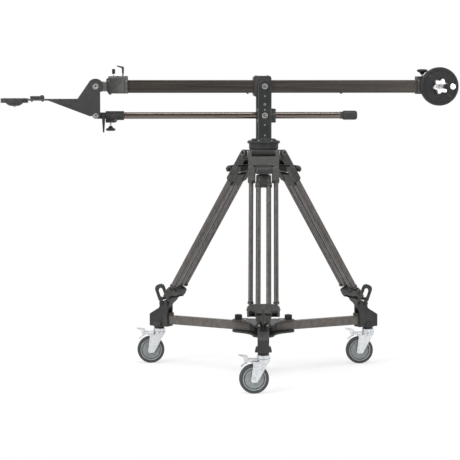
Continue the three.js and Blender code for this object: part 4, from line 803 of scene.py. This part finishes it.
nose = rounded([(-697, 1265), (-689, 1249), (-603, 1249), (-603, 1316), (-697, 1316), (-697, 1300)], [3, 3, 2,
    2, 6, 2], 4)
body = slab(nose, -31, 31, "y", 2.4, steps=3)
body += slab(rectangle(-688, -603, 1314, 1325, 2, 4), -29, 29, "y", 1.6, steps=3)
body += slab(rectangle(-690, -604.5, 1317.5, 1320, 1, 3), -29.6, 29.6, "y", 0.8, tone=1)
body = carve(body, slab(bar_outline(48.1, 57.1, 6), -690, -590, "x", 0), slab(bar_outline(35.8, 44.8, 4),
    -710, -680, "x", 0))
body += lathe([(0, 1244), (4.6, 1244), (6, 1245.6), (6, 1250), (0, 1250)], "z", 32, radius=0.6).at(go(-681))
for side in (-1, 1):
    way = SIDEWAYS[side]
    # A thin near-black line on each side: painted shade in a seam.
    body += block(-619, -617.6, side * 31 - 0.4, side * 31 + 0.4, 1251, 1314, 0.3, 2)
    for x, z in ((-688, 1305), (-609, 1305), (-609, 1259)):
        body += socket_bolt(3, 1.6, 1, 2).at(go(x, 31 * side, z) @ way)
for x, y in ((-648, -20), (-648, 20), (-609, -20), (-609, 20)):
    body += socket_bolt(3.4, 2.4, 1, 2).at(go(x, y, 1324.8))
piece("boom_collar_cast", "boom", [dark_cast, steel, painted_shade_black], ROW, body, "boom_collar")

pin = slab(wavy(7, 18, 1, 4), 1336, 1356, "z", 0.8)
pin += lathe([(0, 1335), (5.4, 1335), (5.8, 1337), (5.8, 1355.6), (4.6, 1357), (0, 1357)], "z", 32,
    radius=0.4)
pin += rod("z", 2.4, 1309, 1340, 0.4, 24, 1)
piece("collar_pin_grip", "collar_pin", [plastic_black, steel], ROW @ go(COLLAR_PIN_X), pin, "collar_pin")

lever = lathe([(0, 1326), (3, 1326), (3, 1336), (4.4, 1340), (4.8, 1362), (3.4, 1365.5), (0, 1365.5)], "z",
    32, radius=0.8)
lever += rod("z", 2.6, 1318, 1338, 0.4, 24, 1)
arm = rounded([(4, 1358), (4, 1366), (-8, 1369), (-27, 1372.5), (-27, 1368), (-9, 1361.5), (-3, 1358)],
    [2, 3, 4, 2, 2, 4, 1], 4)
lever += slab(arm, -4, 4, "y", 1.6, steps=3)
piece("collar_lever_grip", "collar_lever", [plastic_black, steel], ROW @ go(COLLAR_LEVER_X), lever,
    "collar_lever")

inner = slab(bar_outline(35, 44, 4), -745, -120, "x", 0.5, [bar_outline(29, 38, 2.5)])
inner += block(-160, -120, -20.7, 20.7, 1254.8, 1305.2, 2, axis="x", tone=1)
ear = ring("y", 9.3, 22, -17.5, 17.5, 1, 64, 2).at(go(NOSE_X, 0, BOOM_UP))
inner = carve(inner, rod("y", 21, -30, 30, 0, 64).at(go(NOSE_X, 0, BOOM_UP))) + ear
inner += block(-728, -716, -17.8, 17.8, 1257.6, 1302.4, 1.5, axis="x", tone=2)
piece("boom_inner_bar", "boom_inner", [inner_grey, plastic_black, leg_black], ROW, inner, "boom_inner_tube")

body = ring("x", 12.5, 15, -690, 372, 0.4, 64)
cap = lathe([(0, 356), (19.6, 356), (20.5, 357.4), (20.5, 409), (19, 415), (16, 418), (0, 418)], "x", 64,
    tone=1, radius=1.2)
body += carve(cap, rod("x", 15.1, 340, 372, 0, 48))
body += ring("x", 15.05, 16.2, 342, 356, 0.4, 48, 1)
piece("rod_tube", "rod", [rod_brown, plate_black], ROW @ go(z=ROD_UP), body, "rod_outer_tube")

body = slab(wavy(20, 40, 1.1, 4), -696, -620, "x", 0.8)
body += ring("x", 15.2, 20, -701, -694, 1, 64) + ring("x", 15.2, 20.2, -623, -615, 1, 64)
body = carve(body, rod("x", 15.05, -690, -600, 0, 48), rod("x", 11.8, -710, -680, 0, 48))
foot = rounded([(-701, -31), (-660, -31), (-650, -24), (-650, -8), (-701, -8)], [3, 6, 4, 1, 1], 4)
clamp = carve(slab(foot, -15, 15, "y", 2, steps=3), rod("x", 15.1, -710, -600, 0, 48), rod("z", 4.4, -40, -10,
    0, 24).at(go(ROD_KNOB_X)))
body += clamp
for side in (-1, 1):
    body += socket_bolt(3, 1.6, 1, 2).at(go(-657, 15 * side, -19) @ SIDEWAYS[side])
piece("rod_collar_cast", "rod", [dark_cast, steel, painted_shade_black], ROW @ go(z=ROD_UP), body, "rod_collar")

profile = [(0, 1085), (17, 1085), (20, 1087), (21, 1091), (20, 1094.6), (13, 1097.4), (9, 1101.5), (7, 1106),
    (0, 1106)]
knob = lobed(lathe(profile, "z", 64, radius=1), 12, 9, 0.09) + rod("z", 4, 1104, 1134, 0.4, 24, 1)
piece("rod_collar_grip", "rod_collar_knob", [plastic_black, steel], ROW @ go(ROD_KNOB_X), knob,
    "rod_collar_knob")

body = ring("x", 9, 11.5, -735, -150, 0.4, 48)
knuckle = arc(NOSE_X, 0, 14, 90, 270, 24) + [(-701.4, -14), (-701.4, 14)]
body += slab(knuckle, -17, 17, "y", 1.6, [circle(9.7, 32, NOSE_X)], 3, 1)
body += rod("y", 4, -37.3, -16, 0.5, 24, 2).at(go(ROD_LEVER_X))
piece("rod_inner_bar", "rod_inner", [tube_grey, cast_black, steel], ROW @ go(z=ROD_UP), body,
    "rod_inner_tube")

outline = rounded([(-3, -74), (3, -74)] + arc(0, 0, 8, 0, 180, 16), [2.4, 2.4] + [0] * 17, 4)
body = slab(outline, -37.3, -29.3, "y", 2, [circle(4.4, 24)], 3)
body += lathe([(0, 0), (5.6, 0), (5.6, 1.2), (4.6, 2), (0, 2)], "z", 32, radius=0.4).at(go(0, -37.2, 0)
    @ SIDEWAYS[-1])
piece("rod_lever_grip", "rod_lever", [plastic_black, steel], ROW @ go(ROD_LEVER_X, 0, ROD_UP), body,
    "rod_lever")

# ---------------------------------------------------------------- head
outline = [(-1100, 1226), (-1100, 1218), (-952, 1218), (-770, 1149)] + arc(NOSE_X, ROD_UP, 13, 180, 270, 8)
outline += [(-725, 1139), (-725, 1258)] + arc(NOSE_X, BOOM_UP, 34.5, -45, 135, 24) + [(-770, 1304),
    (-824, 1226)]
hollow = [(-952, 1213), (-829, 1218), (-819, 1218), (-772, 1280), (-772, 1342), (-663, 1342), (-663, 1126),
    (-764, 1126), (-764, 1154)]
body = carve(slab(outline, -29, 29, "y", 2, steps=3), slab(hollow, -23, 23, "y", 0), lathe([(0, 1190),
    (60.8, 1190), (60.8, 1240), (0, 1240)], "z", 96).at(go(BOWL_X)))
# The near-black hexagons in the pivot bolts, the dots along the sides and the bolts underneath are painted
# shade.
for side in (-1, 1):
    way = SIDEWAYS[side]
    for z, r in ((BOOM_UP, 13.4), (ROD_UP, 11.6)):
        bolt = ring("z", r * 0.62, r, 0, 2, 0.6, 48, 1)
        bolt += lathe([(0, 0), (r * 0.6, 0), (r * 0.6, 1.4), (0, 1.8)], "z", 40, tone=1, radius=0.4)
        bolt += rod("z", r * 0.28, 1.2, 2.0, 0.1, 6, 2)
        body += bolt.at(go(NOSE_X, 28.8 * side, z) @ way)
    for x, z in ((-833, 1221.5), (-900, 1221.5), (-948, 1221.5)):
        body += rod("z", 2.6, 0, 1, 0.3, 20, 2).at(go(x, 29 * side, z) @ way)
for z in (BOOM_UP, ROD_UP):
    body += rod("y", 9, -29, 29, 0.5, 40, 1).at(go(NOSE_X, 0, z))
for x, y in ((-1024, 0), (-977, 0)):
    body += socket_bolt(4.6, 5, 2, 2).at(go(x, y, 1218.4) @ DOWN)
piece("head_bracket_shell", "head", [plate_black, steel, painted_shade_black], ROW, body, "head_bracket")

profile = [(12, 1196), (18.5, 1195), (27, 1198.5), (34, 1203.6), (39, 1208.6), (59.5, 1208.6), (60.5, 1210),
    (60.5, 1215.6), (59.7, 1216.6), (59.7, 1218), (60.5, 1219), (60.5, 1227), (59, 1228.6),
    (40, 1228.6)] + arc(0, 1228.6, 37.5, 0, -60, 5) + [(12, 1197.6)]
body = lathe(profile, "z", 96, closed=True)
body += lathe([(0, 1189.6), (4, 1189.6), (5.6, 1191), (5.6, 1196.6), (13, 1197), (13, 1199), (0, 1199)], "z",
    40, tone=1, radius=0.5)
for k in range(6):
    body += socket_bolt(2.6, 1.2, 1, 2).at(turn("Z", 30 + 60 * k) @ go(49, 0, 1228.5))
piece("bowl_turned", "head", [cast_black, steel, painted_shade_black], ROW @ go(BOWL_X), body, "bowl_ring")

body = block(-1031, -969, -20, 20, 1226, 1238, 1.6, axis="y")
body += lathe([(0, 1237), (7, 1237), (7, 1241), (6.2, 1242), (5, 1242), (5, 1240.8), (0, 1240.8)], "z", 40,
    radius=0.2).at(go(-979))
body += lathe([(0, 1240.4), (4.8, 1240.4), (4.4, 1241.6), (0, 1242)], "z", 32, tone=1).at(go(-979))
body += rod("z", 4, 1237, 1239, 0.4, 24, 2).at(go(-1020))
piece("level_block_body", "head", [plastic_black, glass_green, steel], ROW, body, "level_block")

# ---------------------------------------------------------------- tail
outline = rounded([(685, 1246), (812, 1246), (812, 1316), (737, 1316), (737, 1325), (685, 1325)], [3, 10, 10,
    2, 2, 2], 5)
body = carve(slab(outline, -31, 31, "y", 2.4, steps=3), slab(bar_outline(48.1, 57.1, 6), 660, 740, "x", 0),
    rod("y", 12.6, -40, 40, 0, 48).at(go(BAR_X, 0, BOOM_UP)))
for side in (-1, 1):
    way = SIDEWAYS[side]
    for x, z in ((694, 1256), (694, 1306), (728, 1256), (728, 1306)):
        body += socket_bolt(3.2, 1.8, 1, 2).at(go(x, 31 * side, z) @ way)
    # A thin near-black line on each side: painted shade in a seam.
    body += block(739, 741, side * 31 - 0.5, side * 31 + 0.5, 1248, 1314, 0.4, 2)
piece("tail_carrier_cast", "boom", [dark_cast, steel, painted_shade_black], ROW, body, "tail_carrier")

profile = [(0, 1333), (7.4, 1333), (9, 1338), (15, 1342.5), (22.5, 1345.6), (24.5, 1349), (23.6, 1353),
    (19, 1356), (10, 1357), (0, 1357)]
knob = lobed(lathe(profile, "z", 72, radius=1), 13, 11, 0.1) + rod("z", 5, 1309, 1336, 0.4, 24, 1)
piece("tail_knob_grip", "tail_knob", [plastic_black, steel], ROW @ go(TAIL_KNOB_X), knob, "tail_knob")

body = lathe([(0, -330), (10.5, -330), (12.5, -327.6), (12.5, 327.6), (10.5, 330), (0, 330)], "y", 64,
    radius=0.5)
piece("weight_bar_chrome", "boom", chrome, ROW @ go(BAR_X, 0, BOOM_UP), body, "weight_bar")

profile = [(12.9, -57.3), (24.6, -57.3), (26, -55.6), (27, -54.3), (70, -54.3), (72.4, -55.4), (74, -57.3),
    (82, -57.3), (85.5, -53.5), (85.5, -35), (82, -31.3), (12.9, -31.3)]
body = lathe(profile, "y", 128, radius=0.8, closed=True)
piece("weight_disc_iron", "boom", disc_black, ROW @ go(BAR_X, 0, BOOM_UP), body, "weight_disc")

star = wavy(35, 6, 9.8, 12, math.radians(12))
for name, low, high, side in (("front", -87.6, -57.6, -1), ("rear", 31.3, 61.3, 1)):
    body = slab(star, low, high, "y", 3.4, [circle(12.9, 40)], 4)
    body += ring("z", 12.9, 19, -1, 2.2, 1, 48).at(go(y=max(high, -low) * side) @ SIDEWAYS[side])
    body += rod("z", 4, 30, 36.4, 0.8, 32, 1).at(turn("Y", -12) @ FORWARD @ go(y=(low + high) / 2))
    piece(f"star_{name}_cast", f"star_{name}", [star_bright, steel], ROW @ go(BAR_X, 0, BOOM_UP), body,
        f"star_collar_{name}")

# ---------------------------------------------------------------- stage, light and camera
scene = bpy.context.scene


def any_ray(tree, *kinds):
    """A factor that is 1 for camera rays and for the other kinds of ray."""
    path = tree.nodes.new("ShaderNodeLightPath")
    factor = path.outputs["Is Camera Ray"]
    for kind in kinds:
        either = tree.nodes.new("ShaderNodeMath")
        either.operation = "MAXIMUM"
        tree.links.new(factor, either.inputs[0])
        tree.links.new(path.outputs[kind], either.inputs[1])
        factor = either.outputs["Value"]
    return factor


def blend(tree, factor, first, second):
    """The second shader where the factor is 1, and the first where it is 0."""
    mix = tree.nodes.new("ShaderNodeMixShader")
    for number, source in enumerate((factor, first, second)):
        tree.links.new(source, mix.inputs[number])
    return mix.outputs["Shader"]


# The world is white to the eye and through glass, dimmer as a lamp, and for polished surfaces it
# darkens toward the camera's side, as a studio does.
world = bpy.data.worlds.new("studio")
scene.world = world
world.use_nodes = True
tree = world.node_tree
tree.nodes.clear()
link = tree.links.new
white, mirror, lamp = (node(tree, "ShaderNodeBackground", {"Color": (1, 1, 1, 1), "Strength": strength})
    for strength in (1, 1, 0.5))
facing = tree.nodes.new("ShaderNodeTexCoord")
split = tree.nodes.new("ShaderNodeSeparateXYZ")
room = node(tree, "ShaderNodeMapRange", {"From Min": -0.75, "From Max": -0.1, "To Min": 0.12, "To Max": 1})
room.interpolation_type = "SMOOTHSTEP"
link(facing.outputs["Generated"], split.inputs["Vector"])
link(split.outputs["Y"], room.inputs["Value"])
link(room.outputs["Result"], mirror.inputs["Strength"])
glossy = tree.nodes.new("ShaderNodeLightPath").outputs["Is Glossy Ray"]
room_light = blend(tree, glossy, lamp.outputs["Background"], mirror.outputs["Background"])
out = tree.nodes.new("ShaderNodeOutputWorld")
seen = blend(tree, any_ray(tree, "Is Transmission Ray"), room_light, white.outputs["Background"])
link(seen, out.inputs["Surface"])

# The floor shows the object's shadow near it and is plain white further out.
floor_mesh = bpy.data.meshes.new("floor")
floor_mesh.from_pydata([(-40, -40, 0), (40, -40, 0), (40, 40, 0), (-40, 40, 0)], [], [(0, 1, 2, 3)])
floor = bpy.data.objects.new("floor", floor_mesh)
scene.collection.objects.link(floor)
pale = bpy.data.materials.new("pale_floor")
pale.use_nodes = True
tree = pale.node_tree
tree.nodes.clear()
link = tree.links.new
ground = node(tree, "ShaderNodeBsdfDiffuse", {"Color": (0.42, 0.42, 0.42, 1)})
glow = node(tree, "ShaderNodeEmission", {"Strength": 0.62})
both = tree.nodes.new("ShaderNodeAddShader")
clear = node(tree, "ShaderNodeEmission", {"Strength": 1})
dull = node(tree, "ShaderNodeBsdfDiffuse", {"Color": (0.8, 0.8, 0.8, 1)})
link(ground.outputs["BSDF"], both.inputs[0])
link(glow.outputs["Emission"], both.inputs[1])
where = tree.nodes.new("ShaderNodeTexCoord")
spot = tree.nodes.new("ShaderNodeVectorMath")
spot.operation = "DISTANCE"
spot.inputs[1].default_value = (0.15, 0.11, 0)
fade = node(tree, "ShaderNodeMapRange", {"From Min": 0.7, "From Max": 1.5})
fade.interpolation_type = "SMOOTHSTEP"
link(where.outputs["Object"], spot.inputs[0])
link(spot.outputs["Value"], fade.inputs["Value"])
near = blend(tree, fade.outputs["Result"], both.outputs["Shader"], clear.outputs["Emission"])
out = tree.nodes.new("ShaderNodeOutputMaterial")
seen = blend(tree, any_ray(tree, "Is Glossy Ray", "Is Transmission Ray"), dull.outputs["BSDF"], near)
link(seen, out.inputs["Surface"])
floor_mesh.materials.append(pale)


def softbox(name, place, aim, size, power):
    light = bpy.data.lights.new(name, "AREA")
    light.shape = "RECTANGLE"
    light.size, light.size_y = size
    light.energy = power
    obj = bpy.data.objects.new(name, light)
    scene.collection.objects.link(obj)
    obj.location = place
    obj.rotation_euler = (Vector(aim) - Vector(place)).to_track_quat("-Z", "Y").to_euler()
    obj.visible_camera = False


softbox("left", (-3.4, -2.6, 2.6), (0, 0, 0.8), (1.8, 1.8), 90)
softbox("right", (2.6, -4.2, 1.5), (0.4, 0, 1.0), (1.6, 1.8), 60)
softbox("top", (0, -0.4, 4.2), (0, 0, 0.8), (3.4, 1.6), 90)

SENSOR, FOCAL_PIXELS, IMAGE_PIXELS = 36, 1838.25, 460
YAW, PITCH = -0.018294, -0.080991  # radians, from straight along the boom's side view
camera_data = bpy.data.cameras.new("camera")
camera = bpy.data.objects.new("camera", camera_data)
scene.collection.objects.link(camera)
scene.camera = camera
camera_data.sensor_width = SENSOR
camera_data.lens = FOCAL_PIXELS * SENSOR / IMAGE_PIXELS
camera_data.clip_end = 200
ahead = turn("Z", -PAN) @ Vector((math.sin(YAW) * math.cos(PITCH), math.cos(YAW) * math.cos(PITCH),
    math.sin(PITCH)))
camera.location = (-0.77994, -8.02093, 1.3049)
camera.rotation_euler = ahead.to_track_quat("-Z", "Y").to_euler()
scene.view_settings.view_transform = "Standard"
